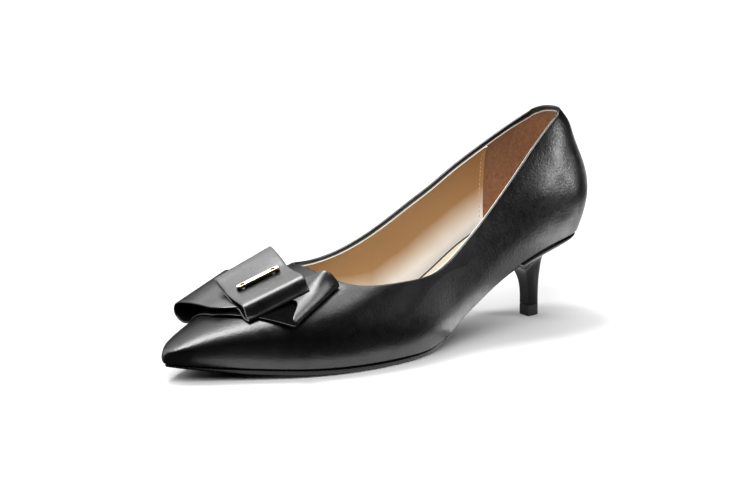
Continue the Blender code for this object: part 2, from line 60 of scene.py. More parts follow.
# Sections of the last from the heel back (station 0) to the toe (station 1).
# axis, lateral, medial, bulge and ridge_x are shares of BALL_WIDTH, bottom and bulge_up of
# HEEL_HEIGHT, ridge of INSTEP_HEIGHT; fullness swells or hollows the side of the crown.
SECTION_COLUMNS = (
    "station", "axis", "lateral", "medial", "bottom", "bulge", "bulge_up", "ridge", "ridge_x", "fullness")
SECTIONS = (
    (0.00, 0.000, 0.000, 0.000, 0.990, 0.020, 0.48, 2.62, 0.00, -0.15),
    (0.03, 0.000, 0.235, 0.235, 0.985, 0.030, 0.48, 2.58, 0.00, -0.18),
    (0.10, 0.000, 0.330, 0.330, 0.955, 0.040, 0.46, 2.45, 0.00, -0.18),
    (0.20, 0.000, 0.345, 0.335, 0.805, 0.050, 0.45, 2.22, 0.00, -0.05),
    (0.26, 0.000, 0.340, 0.325, 0.645, 0.055, 0.44, 2.05, 0.00, 0.03),
    (0.31, 0.000, 0.340, 0.312, 0.470, 0.060, 0.43, 1.88, -0.01, 0.06),
    (0.36, 0.000, 0.355, 0.302, 0.302, 0.062, 0.42, 1.72, -0.02, 0.08),
    (0.41, 0.000, 0.392, 0.298, 0.145, 0.060, 0.41, 1.57, -0.02, 0.10),
    (0.46, 0.000, 0.450, 0.305, 0.071, 0.055, 0.40, 1.43, -0.03, 0.10),
    (0.52, 0.000, 0.500, 0.333, 0.061, 0.048, 0.39, 1.30, -0.03, 0.08),
    (0.58, 0.000, 0.515, 0.380, 0.061, 0.043, 0.38, 1.18, -0.04, 0.05),
    (0.66, 0.000, 0.500, 0.450, 0.068, 0.038, 0.37, 1.00, -0.04, 0.05),
    (0.75, 0.000, 0.430, 0.470, 0.090, 0.035, 0.33, 0.82, -0.04, 0.05),
    (0.84, -0.010, 0.285, 0.370, 0.120, 0.030, 0.29, 0.655, -0.03, 0.05),
    (0.92, -0.030, 0.150, 0.215, 0.155, 0.028, 0.23, 0.520, -0.02, 0.05),
    (0.98, -0.045, 0.062, 0.080, 0.195, 0.020, 0.16, 0.395, -0.01, 0.05),
    (1.00, -0.050, 0.000, 0.000, 0.205, 0.010, 0.13, 0.34, 0.00, 0.05),
)
COLUMN_UNITS = {
    "axis": BALL_WIDTH, "lateral": BALL_WIDTH, "medial": BALL_WIDTH, "bulge": BALL_WIDTH,
    "ridge_x": BALL_WIDTH, "bottom": HEEL_HEIGHT, "bulge_up": HEEL_HEIGHT, "ridge": INSTEP_HEIGHT,
    "fullness": 1.0}
LEVEL_COLUMNS = ("axis", "bottom", "bulge", "bulge_up", "ridge_x", "fullness")
BULGE_FADE_WIDTH = 0.1 * BALL_WIDTH

# Back of the heel: height above the seat, and how far the back sits forward of its fullest point
BACK_CURVE = (
    (0.000, 0.0060), (0.010, 0.0022), (0.022, 0.0000), (0.036, 0.0028),
    (0.050, 0.0081), (0.058, 0.0106), (0.064, 0.0150), (0.090, 0.0300))
BACK_REACH = 0.34
# The nose of the toe is round: how far it draws back at its lower and its upper end, ahead of a station
NOSE_STATION = 0.94
NOSE_LOW = 0.0014
NOSE_HIGH = 0.0020

# Topline: feather station of a column of the upper, the station that it ends at on the topline,
# and the crown angle in degrees that it ends at on each side
TOPLINE_COLUMNS = ("feather", "station", "lateral", "medial")
TOPLINE = (
    (0.00, 0.000, 47.0, 47.0),
    (0.05, 0.050, 49.0, 43.0),
    (0.14, 0.140, 45.0, 37.0),
    (0.28, 0.280, 29.5, 37.0),
    (0.42, 0.420, 24.5, 45.0),
    (0.55, 0.530, 31.0, 39.0),
    (0.70, 0.610, 41.0, 43.0),
    (0.86, 0.655, 58.0, 62.0),
    (1.00, 0.668, 90.0, 90.0),
)
FAN_STATION = 0.42

# Layers of the wall. The outer leather is folded on itself at the topline, where it is thicker.
LEATHER = 0.0010
TOPLINE_FOLD = 0.0018
FOLD_DEPTH = 0.0045
LAYER_GAP = 0.00005
LINING = 0.0008
HEEL_GRIP = 0.0005
LINING_START = 0.0030
# The lining's cut edge stands above the fold on the lateral side and below it on the medial side:
# feather station, height on the lateral side and on the medial side
LINING_EDGE = (
    (0.00, -0.0014, -0.0014), (0.02, -0.0004, -0.0022), (0.06, 0.0007, -0.0024), (0.10, 0.0008, -0.0014),
    (0.90, 0.0007, -0.0012), (1.00, -0.0002, -0.0002))
# A tab round the back stands a little above the rest of the topline
TAB_STATION = 0.046
TAB_RAMP = 0.010
TAB_HEIGHT = 0.0006
TAB_ROWS = 6
# Soft hollows and swellings of the outer side: y and z of the middle, reach along the
# shoe and upwards, and how far they push the leather out
DENTS = (
    (0.0975, 0.0760, 0.0085, 0.0080, -0.00055),
    (0.1085, 0.0675, 0.0060, 0.0055, 0.00040),
    (0.1055, 0.0835, 0.0055, 0.0070, -0.00035),
    (0.0960, 0.0910, 0.0060, 0.0060, 0.00030),
    (0.0985, 0.0600, 0.0060, 0.0040, -0.00030),
    (0.0820, 0.0700, 0.0090, 0.0080, 0.00030),
    (0.0640, 0.0600, 0.0110, 0.0080, -0.00030),
    (0.0100, 0.0300, 0.0140, 0.0080, -0.00035),
    (-0.0560, 0.0240, 0.0120, 0.0060, -0.00030),
)
DENT_FADE = 0.012
# Feather station where the lining meets the heel grip in a stitched butt seam
GRIP_STATION = 0.152
SEAM_RIDGE = 0.0006
# The leather's lower edge turns in with this radius
FEATHER_ROLL = 0.0012
FEATHER_HEIGHTS = (0.0, 0.0001, 0.0003, 0.0006, 0.0009, 0.0013, 0.0018)
# Offsets shrink where the front half is narrower than this
NARROW_TOE = 0.006
FRONT_HALF_STATION = 0.5

# Outsole: how far its edge stands out from the feather line, by station, and where the heel begins
BREAST_STATION = 0.204
SOLE_EDGE = (
    (0.20, -0.0025), (0.36, -0.0022), (0.46, -0.0006), (0.54, 0.0003), (0.85, 0.0002), (0.95, 0.0000),
    (1.00, -0.0006))
SOLE_TOE_THICKNESS = 0.0010
SOLE_TAPER_STATION = 0.84
SOLE_GAP = 0.00008
SOLE_ROUND_TOP = 0.0003
SOLE_ROUND_LOW = 0.0016
# Sock: roundness of its edge, its gap to the wall and how wide its edge is painted dark as the shadow in
# that gap
SOCK_ROUND = 0.0012
SOCK_GAP = 0.0009
SOCK_PAINTED_SHADOW = 0.0012
# A thin flange under the sock's edge reaches to the leather above its turned-in edge
SOCK_FLANGE_GAP = 0.0003
SOCK_FLANGE_HEIGHT = 0.0016
# Padding under the sock by station
SOCK_PADDING = ((0.00, 0.0010), (0.17, 0.0028), (0.26, 0.0032), (0.35, 0.0044), (0.46, 0.0026), (0.64, 0.0))

# Heel: each row is a section at a share of the way down from the seat. width is its share of the
# seat's width, and front and back are how far its ends have moved from the seat's to the tip's.
HEEL_TIP_Y = 0.0984
HEEL_TIP_HALF_LENGTH = 0.0041
HEEL_SEAT_INSET = 0.0008
TOP_PIECE_HEIGHT = 0.006
HEEL_ROWS = (
    (0.00, 1.000, 0.000, 0.000),
    (0.03, 1.000, 0.000, 0.000),
    (0.08, 0.930, 0.100, 0.160),
    (0.14, 0.780, 0.270, 0.360),
    (0.21, 0.560, 0.480, 0.600),
    (0.30, 0.330, 0.700, 0.800),
    (0.45, 0.200, 0.880, 0.910),
    (0.70, 0.150, 0.980, 0.980),
    (1.00, 0.148, 1.000, 1.000),
)
HEEL_BEVEL = 0.0020
LIFT_BEVEL = 0.0004

# Bow loops, as in the part's source but with their rolls and folds drawn more closely: the middle of
# the strip at each section, going round the loop from the pinned middle, under the inner end, back
# over the top and under the outer end. turn is the angle of the strip's width to the shoe's length in
# degrees, pitch its rise towards the heel and clear its least height above the vamp. Where they are
# given, curl is how far its edge at the heel side lifts, and front the share left of its front half.
MILLIMETRE = 0.001
BOW_COLUMNS = ("x", "y", "z", "turn", "pitch", "clear", "curl", "front")
BOW_PLAIN_END = (0.0, 1.0)
BOW_WIDTH = 0.034
BOW_THICKNESS = 0.0009
BOW_LOWER = (
    (-3.5, -78.0, 34.6, 0.0, 0.30, 0.8),
    (-12.0, -79.0, 32.5, -1.0, 0.31, 0.8),
    (-20.0, -79.5, 29.5, -3.0, 0.34, 0.8),
    (-28.0, -79.8, 26.4, -5.0, 0.34, 0.8),
    (-35.0, -80.0, 25.4, -7.0, 0.34, 0.8),
    (-40.4, -80.0, 27.0, -8.0, 0.33, 1.2),
    (-42.4, -80.0, 30.3, -8.0, 0.33, 1.8),
    (-40.0, -80.0, 33.7, -8.0, 0.33, 2.4),
    (-31.0, -79.8, 35.9, -6.0, 0.33, 2.4),
    (-20.0, -79.4, 37.0, -3.0, 0.32, 2.4),
    (-3.5, -77.6, 37.9, 0.0, 0.30, 2.4),
    (8.0, -70.5, 37.4, -3.0, 0.36, 2.4, 0.4, 0.50),
    (14.0, -65.8, 37.7, -5.0, 0.42, 2.5, 1.6, 0.20),
    (19.5, -61.8, 38.8, -7.5, 0.44, 2.6, 3.2, 0.20),
    (23.0, -59.6, 38.9, -10.0, 0.44, 2.6, 2.8, 0.40),
    (26.4, -57.7, 37.8, -12.5, 0.43, 2.3, 1.0, 0.95),
    (28.4, -56.8, 36.0, -13.0, 0.43, 1.4),
    (26.8, -57.6, 34.7, -12.5, 0.43, 0.8),
    (22.0, -60.8, 35.6, -9.0, 0.43, 0.8),
    (14.0, -66.5, 36.2, -4.0, 0.38, 0.8),
    (6.0, -72.5, 35.8, -2.0, 0.33, 0.8),
)
BOW_UPPER = (
    (-3.5, -70.5, 42.0, 7.0, 0.36, 3.0),
    (-9.0, -69.4, 43.6, 6.3, 0.37, 3.0),
    (-14.5, -68.5, 45.2, 5.8, 0.39, 3.0),
    (-19.5, -67.7, 46.7, 5.5, 0.39, 3.0),
    (-22.0, -67.2, 47.9, 5.5, 0.39, 3.0),
    (-19.5, -67.7, 48.0, 5.5, 0.39, 3.0),
    (-14.5, -68.5, 46.6, 5.8, 0.39, 3.0),
    (-9.0, -69.4, 45.0, 6.3, 0.37, 3.0),
    (-3.5, -70.5, 43.4, 7.0, 0.33, 3.0),
    (2.0, -71.1, 42.5, 8.7, 0.34, 3.0),
    (6.5, -71.5, 42.2, 10.2, 0.36, 3.0),
    (9.2, -71.7, 42.0, 11.2, 0.37, 3.0),
    (11.0, -71.9, 41.7, 12.0, 0.38, 2.6),
    (12.4, -72.0, 41.1, 12.5, 0.38, 2.4),
    (13.4, -72.1, 40.3, 12.9, 0.38, 2.4),
    (14.2, -72.2, 39.2, 13.1, 0.38, 2.4),
    (15.0, -72.2, 37.8, 13.4, 0.385, 2.4),
    (16.0, -72.2, 36.4, 13.8, 0.39, 2.2),
    (17.2, -72.2, 35.1, 14.2, 0.39, 1.6),
    (16.3, -72.2, 34.6, 14.0, 0.39, 1.0),
    (13.0, -72.4, 35.8, 12.6, 0.38, 1.4),
    (8.0, -71.8, 38.3, 11.0, 0.38, 3.0),
    (2.0, -71.1, 40.3, 8.8, 0.37, 3.0),
)
BOW_PINNED_ROW = 8

# Bar that pins the bow's upper loop at its pinned row, with a pin hole near each end
BAR_LENGTH = 0.0250
BAR_SEAT_GAP = 0.0005
BAR_WIDTH = 0.0036
BAR_THICKNESS = 0.0014
BAR_HOLE_RADIUS = 0.00095
BAR_HOLE_INSET = 0.0036
BAR_BEVEL = 0.0003
BAR_CURVE_POINTS = 24

# Colour of the lining by its height above the sock, whose slope is given along y: painted light near the
# sock and painted shade towards the topline
SOCK_SLOPE = 0.484
SOCK_START = 0.0006
SOCK_LEVEL = 0.0075
LINING_FULL_RISE = 0.04
LINING_BLEND = (0.24, 0.63)
LINING_UNEVEN = 0.004

# Stitches of the heel grip's seam
STITCH_PITCH = 0.0024
STITCH_LENGTH = 0.0017
STITCH_RADIUS = 0.00028
STITCH_INSET_COLUMNS = 1
STITCH_TOP_LEFT = 0.004
STITCH_LOW_LEFT = 0.006

# How finely the surfaces are cut
SIDE_COLUMNS = 150
WALL_ROWS = 10
CROWN_ROWS = 38
RIM_STEPS = 8
LINING_ROWS = 40
# Shares of the lining's height where its rows end, and where the closer rows of its top begin
LINING_ROWS_END = 0.86
LINING_TOP_START = 0.88
CUT_EDGE_ROWS = 2
SOLE_ROWS = 150
SOLE_CELLS = 14
SOCK_CELLS = 28
HEEL_SIDE_POINTS = 40
HEEL_RINGS = 64
HEEL_RING_CROWDING = 1.3
BOW_SPANS = 10
BOW_CELLS = 26
BOW_EDGE_STEPS = 5
BISECTIONS = 40
SHARP_ANGLE = math.radians(40)
TOE_WIDTH_LEFT = 0.001
MERGE = 1e-6

LATERAL = 1
MEDIAL = -1
SIDE_NAMES = {LATERAL: "lateral", MEDIAL: "medial"}
RIGHT_ANGLE = math.pi / 2

# Camera at the photo's angle to the shoe; the image is taken to be 750 by 480 pixels
CAMERA_AZIMUTH = math.radians(54.0)
CAMERA_ELEVATION = math.radians(14.4)
CAMERA_DISTANCE = 2.2
CAMERA_TARGET_Y = -0.0012
CAMERA_TARGET_Z = 0.0545
PIXELS_PER_METRE = 1985.0
IMAGE_WIDTH = 750
SENSOR_WIDTH = 36.0

# Floor, lights and display. The softboxes' columns are name, direction from the shoe, distance, width,
# height and power.
FLOOR_HALF_SIZE = 6.0
SUN_STRENGTH = 1.2
SUN_ANGLE = math.radians(16)
SUN_FROM = (-0.26, -0.08, 1.0)
SOFTBOXES = (
    ("front_left", (-0.75, -0.45, 0.50), 1.6, 1.0, 1.0, 6.0),
    ("behind_right", (0.62, 0.75, 0.30), 1.3, 0.28, 0.70, 7.0),
)
# Brightness of the room by how near a direction is to the glow's: dim round the walls, bright overhead
ROOM_GLOW_FROM = (-0.45, 0.10, 0.89)
ROOM_GLOW = ((0.0, 0.006), (0.50, 0.015), (0.75, 0.20), (0.88, 1.0), (1.0, 1.7))
# A black mat on the floor beside the shoe's outer side, a smaller one under the shoe and a standing flag,
# which only show in the gloss. The first outline is the mat's inner edge from the toe to the heel, then
# its far corners; the flag's is in y and z.
MAT_HEIGHT = 0.0005
MAT_OUTLINE = (
    (-0.06, -0.17), (0.0, -0.145), (0.032, -0.105), (0.048, -0.06), (0.052, -0.02), (0.046, 0.03),
    (0.040, 0.065), (0.062, 0.11), (0.105, 0.165), (0.10, 0.19), (0.06, 0.24), (-0.1, 0.34), (-0.1, 4.0),
    (4.0, 4.0), (4.0, -4.0), (-0.06, -4.0))
UNDER_MAT_OUTLINE = ((-0.30, -0.15), (0.018, -0.15), (0.018, 0.06), (-0.30, 0.06))
FLAG_X = 0.11
FLAG_OUTLINE = ((-0.25, 0.001), (0.20, 0.001), (0.20, 0.085), (0.125, 0.085), (0.125, 0.15), (-0.25, 0.15))
# Lit panels on the floor and overhead, which also only show in the gloss:
# x from and to, y from and to, height, glow
PANELS = (
    (0.02, 0.06, -0.14, 0.03, 0.0003, 0.7),
    (0.02, 0.048, 0.04, 0.09, 0.0003, 2.2),
    (0.03, 0.12, 0.14, 0.26, 0.0003, 2.1),
    (-0.55, -0.04, -0.60, 0.08, 1.2, 8.5),
    (-0.20, 0.15, 0.36, 0.72, 1.2, 5.0),
    (0.14, 0.60, 0.06, 0.34, 1.2, 5.0))
DISPLAY_GAMMA = 0.86
# Lights that fall on the shoe's inside only and on the bow only, with columns as the softboxes'
INNER_FILL = ("inner_fill", (0.35, 0.25, 0.90), 0.35, 0.20, 0.20, 0.22)
BOW_LIGHT = ("bow_light", (-0.69, 0.22, 0.69), 1.5, 0.9, 1.2, 5.2)
# Light for the floor that stays out of the gloss
FLOOR_FILL = ("floor_fill", (0.45, -0.45, 0.77), 2.0, 1.6, 1.6, 34.0)

# Finishes of leather: dark and light colour, least and greatest roughness, grain cells per metre, depth of
# the grain and of the pebbles, and specular level
LEATHERS = {
    "black_leather": (
        (0.0015, 0.0015, 0.002), (0.003, 0.003, 0.0035), (0.28, 0.38), 1400.0, 3e-5, 1e-4, 1.0),
    "black_bow_leather": (
        (0.002, 0.002, 0.0025), (0.004, 0.004, 0.0045), (0.26, 0.34), 1200.0, 1e-5, 1e-5, 1.0),
    # The upper loop's cut edge is grey: a lighter raw edge and a painted highlight along it
    "bow_cut_edge_and_highlight": ((0.11, 0.11, 0.11), (0.17, 0.17, 0.17), (0.40, 0.50), 2600.0, 2e-5, 1e-5, 0.5),
    "lining_cut_edge": ((0.90, 0.86, 0.78), (0.95, 0.92, 0.86), (0.70, 0.80), 3000.0, 3e-5, 1e-5, 0.5),
    "sock_leather": ((0.80, 0.76, 0.65), (0.84, 0.80, 0.70), (0.50, 0.62), 2000.0, 2e-5, 1e-5, 0.5),
    # The sock's edge colour is a painted shadow of the gap between the sock and the wall
    "sock_edge_painted_shadow": ((0.030, 0.020, 0.012), (0.045, 0.030, 0.018), (0.60, 0.70), 2000.0, 2e-5, 1e-5, 0.5),
}
# Finishes of moulded pieces: dark and light colour, least and greatest roughness, depth of the ripples and
# specular level
MOULDED = {
    "sole_black": ((0.006, 0.006, 0.006), (0.010, 0.010, 0.010), (0.22, 0.34), 5e-5, 0.5),
    "heel_black": ((0.003, 0.003, 0.004), (0.006, 0.006, 0.007), (0.10, 0.18), 4e-5, 0.2),
    "lift_rubber": ((0.006, 0.006, 0.006), (0.011, 0.011, 0.011), (0.45, 0.60), 5e-5, 0.5),
    "bow_inside": ((0.002, 0.002, 0.002), (0.004, 0.004, 0.004), (0.85, 0.95), 5e-5, 0.1),
    "hole_shade": ((0.010, 0.008, 0.005), (0.016, 0.012, 0.008), (0.50, 0.60), 2e-5, 0.5),
    "mat_black": ((0.004, 0.004, 0.004), (0.006, 0.006, 0.006), (0.80, 0.90), 1e-4, 0.5),
}
# Dark and light colours of the other finishes; the lining's are its painted lit colour at the sock and its
# painted shaded colour at the topline
SUEDES = {
    "heel_grip_suede": ((0.30, 0.145, 0.075), (0.41, 0.22, 0.12)),
    "thread": ((0.70, 0.48, 0.28), (0.78, 0.56, 0.35)),
}
LINING_LIT_AND_SHADED_COLOURS = ((0.95, 0.93, 0.88), (0.50, 0.30, 0.14))
GOLD_COLOURS = ((0.78, 0.67, 0.44), (0.88, 0.79, 0.58))
FLOOR_COLOURS = ((0.88, 0.88, 0.88), (0.90, 0.90, 0.90))
PANEL_COLOURS = ((0.96, 0.96, 0.96), (1.0, 1.0, 1.0))
# Parts of a noise's range that two colours mingle over and that a roughness is spread over
MINGLE_RANGE = (0.35, 0.65)
SPREAD_RANGE = (0.3, 0.7)

# The last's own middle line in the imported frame
TIP_LOW, TIP_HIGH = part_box("top_piece")
MIDDLE_X = (TIP_LOW.x + TIP_HIGH.x) / 2


def spline(knots, values, level_ends):
    """Cubic spline through the knots, with level or natural ends."""
    knots = np.asarray(knots, float)
    values = np.asarray(values, float)
    count = len(knots)
    step = np.diff(knots)
    slope = np.diff(values) / step
    around = np.append(step, 0) + np.append(0, step)
    matrix = 2 * np.diag(around) + np.diag(step, 1) + np.diag(step, -1)
    right = 6 * np.diff(slope, prepend=0, append=0)
    if not level_ends:
        matrix[[0, -1]] = np.eye(count)[[0, -1]]
        right[[0, -1]] = 0
    bend = np.linalg.solve(matrix, right)

    def value_at(place):
        place = np.clip(np.asarray(place, float), knots[0], knots[-1])
        i = np.clip(np.searchsorted(knots, place, side="right") - 1, 0, count - 2)
        before = place - knots[i]
        after = knots[i + 1] - place
        cubic = (bend[i] * after**3 + bend[i + 1] * before**3) / (6 * step[i])
        start = (values[i] / step[i] - bend[i] * step[i] / 6) * after
        end = (values[i + 1] / step[i] - bend[i + 1] * step[i] / 6) * before
        return cubic + start + end

    return value_at


def closed_spline(rows, spans):
    """Points of a smooth closed curve through the rows, with spans points from each row to the next."""
    rows = np.asarray(rows, float)
    before = np.roll(rows, 1, axis=0)
    after = np.roll(rows, -1, axis=0)
    beyond = np.roll(rows, -2, axis=0)
    points = []
    for share in np.arange(spans) / spans:
        straight = (after - before) * share
        curve = (2 * before - 5 * rows + 4 * after - beyond) * share**2
        turn_back = (3 * rows - before - 3 * after + beyond) * share**3
        points.append(rows + (straight + curve + turn_back) / 2)
    return np.stack(points, axis=1).reshape(-1, rows.shape[1])


def smooth_step(share):
    share = np.clip(share, 0, 1)
    return share * share * (3 - 2 * share)


def unit(vectors):
    return vectors / np.maximum(np.linalg.norm(vectors, axis=-1, keepdims=True), MERGE * MERGE)


def distance_along(lines):
    """Distance of each point of a line, or of lines, from its first one."""
    steps = np.linalg.norm(np.diff(lines, axis=-2), axis=-1)
    return np.concatenate([np.zeros(steps.shape[:-1] + (1,)), np.cumsum(steps, axis=-1)], axis=-1)


def walk_to(distances, walked, line):
    """Points of a line, or directions along it, at some distances from its start."""
    return np.stack([np.interp(distances, walked, values) for values in line.T], axis=-1)


def turn(station):
    """Station as a share of a half turn, so that both ends of the last come out round."""
    return np.arccos(np.clip(1 - 2 * np.asarray(station, float), -1, 1)) / np.pi


def station_from_turn(share):
    return (1 - np.cos(np.pi * share)) / 2


def section_splines():
    """One spline along the last for each column of the section table."""
    table = np.array(SECTIONS)
    knots = turn(table[:, 0])
    splines = {}
    for i, name in enumerate(SECTION_COLUMNS[1:], start=1):
        splines[name] = spline(knots, table[:, i] * COLUMN_UNITS[name], name in LEVEL_COLUMNS)
    return splines


LAST = section_splines()
BACK = spline(*zip(*BACK_CURVE), False)


def last_value(name, station):
    return LAST[name](turn(station))


def length_at(station, height_above_seat):
    """Y of a point of the last; the back of the heel leans forward with height, and the nose is round."""
    share = np.clip(1 - np.asarray(station) / BACK_REACH, 0, 1) ** 2
    forward = BACK(np.clip(height_above_seat, 0, BACK_CURVE[-1][0]))
    whole = last_value("ridge", station) - last_value("bottom", station)
    upward = np.clip(2 * height_above_seat / whole - 1, -1, 1)
    nose = np.clip((station - NOSE_STATION) / (1 - NOSE_STATION), 0, 1) ** 2
    drawn_back = nose * upward**2 * np.where(upward < 0, NOSE_LOW, NOSE_HIGH)
    return LENGTH / 2 - station * LENGTH - share * forward + drawn_back


def station_at(y):
    """Station of a plan point, leaving out the lean of the heel's back."""
    return np.clip(0.5 - np.asarray(y) / LENGTH, 0, 1)


def half_widths(station, side):
    """Half width at the feather line and at the bulge above it."""
    feather = last_value(SIDE_NAMES[side], station)
    fade = np.minimum(1, feather / BULGE_FADE_WIDTH)
    return feather, feather + last_value("bulge", station) * fade


def place(x, station, z):
    """Points of the last as an array with x, y and z in its last axis."""
    y = length_at(station, z - last_value("bottom", station))
    return np.stack(np.broadcast_arrays(x, y, z), axis=-1)


def wall_point(station, side, share):
    """The side's roll from the feather line (share 0) out to the bulge (share 1)."""
    feather, widest = half_widths(station, side)
    x = last_value("axis", station) + side * (feather + (widest - feather) * (1 - (1 - share) ** 2))
    z = last_value("bottom", station) + last_value("bulge_up", station) * share
    return place(x, station, z)


def crown_sizes(station, side, grow=0.0):
    """Middle line, reach to the side, springing height and rise of the crown's section."""
    middle = last_value("axis", station) + last_value("ridge_x", station)
    reach = half_widths(station, side)[1] - side * last_value("ridge_x", station) + grow
    springing = last_value("bottom", station) + last_value("bulge_up", station)
    rise = last_value("ridge", station) + grow - springing
    return middle, np.maximum(reach, MERGE), springing, rise


def crown_reach(angle, fullness):
    """Share of the reach at an angle of the crown, from 1 at the bulge to 0 on the ridge."""
    return np.cos(angle) * (1 + fullness * np.sin(angle) ** 2)


def crown_height(x, station, side, grow=0.0):
    """Height of the crown over a plan point, on the last or on a form grown from it."""
    middle, reach, springing, rise = crown_sizes(station, side, grow)
    fullness = last_value("fullness", station)
    wanted = np.clip(side * (x - middle) / reach, 0, 1)
    low = np.zeros_like(wanted)
    high = np.full_like(wanted, RIGHT_ANGLE)
    for _ in range(BISECTIONS):
        angle = (low + high) / 2
        outside = crown_reach(angle, fullness) > wanted
        low = np.where(outside, angle, low)
        high = np.where(outside, high, angle)
    return springing + rise * np.sin((low + high) / 2)


def topline_end(feather, side):
    """Plan place and station where a column of the upper ends on the topline, and its crown angle."""
    table = np.array(TOPLINE)
    knots = turn(table[:, 0])
    column = TOPLINE_COLUMNS.index(SIDE_NAMES[side])
    station = spline(knots, table[:, 1], True)(turn(feather))
    angle = spline(knots, np.radians(table[:, column]), False)(turn(feather))
    middle, reach, _, _ = crown_sizes(station, side)
    x = middle + side * reach * crown_reach(angle, last_value("fullness", station))
    return x, station, angle


def vamp_height(x, y, clear):
    """Height of the vamp grown by a clearance; well below everything beside the shoe."""
    station = station_at(y)
    height = np.zeros_like(x)
    for side in (LATERAL, MEDIAL):
        middle, reach, _, _ = crown_sizes(station, side, clear)
        inside = (side * (x - middle) >= 0) & (side * (x - middle) < reach)
        height = np.where(inside, crown_height(x, station, side, clear), height)
    return height


def bottom_height(y):
    """Height of the last's underside at a plan point."""
    return last_value("bottom", station_at(y))


def feather_line(stations, side):
    """Plan line of one side of the feather, and its outward direction."""
    line = wall_point(stations, side, 0.0)[:, :2]
    along = np.gradient(line, turn(stations), axis=0)
    along[stations <= 0] = (side, 0)
    along[stations >= 1] = (-side, 0)
    along = unit(along)
    return line, side * np.stack([-along[:, 1], along[:, 0]], axis=1)


def feather_sides(stations, offset):
    """Plan points of both sides of the feather line, moved out by an offset."""
    offset = np.broadcast_to(offset, stations.shape)
    sides = []
    for side in (LATERAL, MEDIAL):
        line, outward = feather_line(stations, side)
        sides.append(line + outward * offset[:, None])
    return sides


def side_columns(stations, side):
    """Columns of the upper's outer face on one side, from the turned-in feather edge to the topline."""
    _, outward = feather_line(stations, side)
    lift = last_value("bulge_up", stations)
    rows = []
    for height in FEATHER_HEIGHTS:
        left = max(FEATHER_ROLL - height, 0.0)
        row = wall_point(stations, side, height / lift)
        row[:, :2] -= outward * (FEATHER_ROLL - math.sqrt(FEATHER_ROLL**2 - left**2))
        rows.append(row)
    start = FEATHER_HEIGHTS[-1] / lift
    for step in range(1, WALL_ROWS + 1):
        rows.append(wall_point(stations, side, start + (1 - start) * step / WALL_ROWS))
    x_start = last_value("axis", stations) + side * half_widths(stations, side)[1]
    x_end, station_end, angle_end = topline_end(stations, side)
    fullness = last_value("fullness", station_end)
    for step in range(1, CROWN_ROWS + 1):
        reach = crown_reach(angle_end * step / CROWN_ROWS, fullness)
        share = (1 - reach) / (1 - crown_reach(angle_end, fullness))
        x = x_start + (x_end - x_start) * share
        station = stations + (station_end - stations) * share
        _, _, springing, rise = crown_sizes(station, side)
        straight_up = springing + rise * np.sin(angle_end * step / CROWN_ROWS)
        fanned = crown_height(x, station, side)
        rows.append(place(x, station, np.where(stations < FAN_STATION, straight_up, fanned)))
    return np.stack(rows, axis=1)


def grid_normals(points):
    """Outward normals of the upper's closed grid of columns."""
    around = np.roll(points, -1, axis=0) - np.roll(points, 1, axis=0)
    return unit(np.cross(np.gradient(points, axis=1), around))


def dents(points):
    """How far the hollows and swellings of the outer side push each point out."""
    push = np.zeros(points.shape[:-1])
    for y, z, along, upward, depth in DENTS:
        away = ((points[..., 1] - y) / along) ** 2 + ((points[..., 2] - z) / upward) ** 2
        push += depth * np.exp(-away)
    return push * smooth_step(points[..., 0] / DENT_FADE)


class Wall:
    """The upper's outer face as a closed grid of columns, with what its layers are measured from."""

    def __init__(self):
        stations = station_from_turn(np.arange(SIDE_COLUMNS + 1) / SIDE_COLUMNS)
        back = stations[-2:0:-1]
        self.points = np.concatenate([side_columns(stations, LATERAL), side_columns(back, MEDIAL)])
        self.feather = np.concatenate([stations, back])
        self.side = np.concatenate([np.full(len(stations), LATERAL), np.full(len(back), MEDIAL)])
        self.points += grid_normals(self.points) * dents(self.points)[..., None]
        self.top_direction = unit(self.points[:, -1] - self.points[:, -2])
        self.points[:, -TAB_ROWS:] += self.top_direction[:, None] * self.tab()[..., None]
        self.normals = grid_normals(self.points)
        self.walked = distance_along(self.points)
        self.length = self.walked[:, -1]

    def tab(self):
        """How far the tab round the back lifts the last rows of each column."""
        lift = TAB_HEIGHT * smooth_step((TAB_STATION - self.feather) / TAB_RAMP)
        return lift[:, None] * np.linspace(0, 1, TAB_ROWS)

    def leather_at(self, walked):
        """Thickness of the outer leather, which is folded double towards the topline."""
        left = self.length[:, None] - walked
        return LEATHER + (TOPLINE_FOLD - LEATHER) * smooth_step(1 - left / FOLD_DEPTH)

    def narrowing(self, points):
        """Share of an offset that the narrow toe has room for."""
        station = station_at(points[..., 1])
        room = last_value("lateral", station) + last_value("medial", station)
        return np.where(station > FRONT_HALF_STATION, np.clip(room / NARROW_TOE, 0, 1), 1.0)

    def at(self, walked):
        """Points and normals of every column at distances from its lower edge, straight on past its top."""
        points = np.stack([walk_to(*column) for column in zip(walked, self.walked, self.points)])
        normals = np.stack([walk_to(*column) for column in zip(walked, self.walked, self.normals)])
        beyond = np.maximum(walked - self.length[:, None], 0)
        return points + self.top_direction[:, None] * beyond[..., None], unit(normals)

    def lining_edge(self):
        """How far the lining's cut edge stands above the topline's end of each column."""
        rows = np.array(LINING_EDGE)
        lateral = np.interp(self.feather, rows[:, 0], rows[:, 1])
        medial = np.interp(self.feather, rows[:, 0], rows[:, 2])
        return np.where(self.side == LATERAL, lateral, medial)


def grid_faces(rows, columns, closed_rows=False, closed_columns=False):
    """Quads of a grid of vertices, wrapping round where it closes."""
    faces = []
    for i in range(rows if closed_rows else rows - 1):
        for j in range(columns if closed_columns else columns - 1):
            here = i * columns
            beyond = (i + 1) % rows * columns
            right = (j + 1) % columns
            faces.append((here + j, here + right, beyond + right, beyond + j))
    return faces


def add_object(name, data):
    """A new object in the scene."""
    added = bpy.data.objects.new(name, data)
    bpy.context.scene.collection.objects.link(added)
    return added


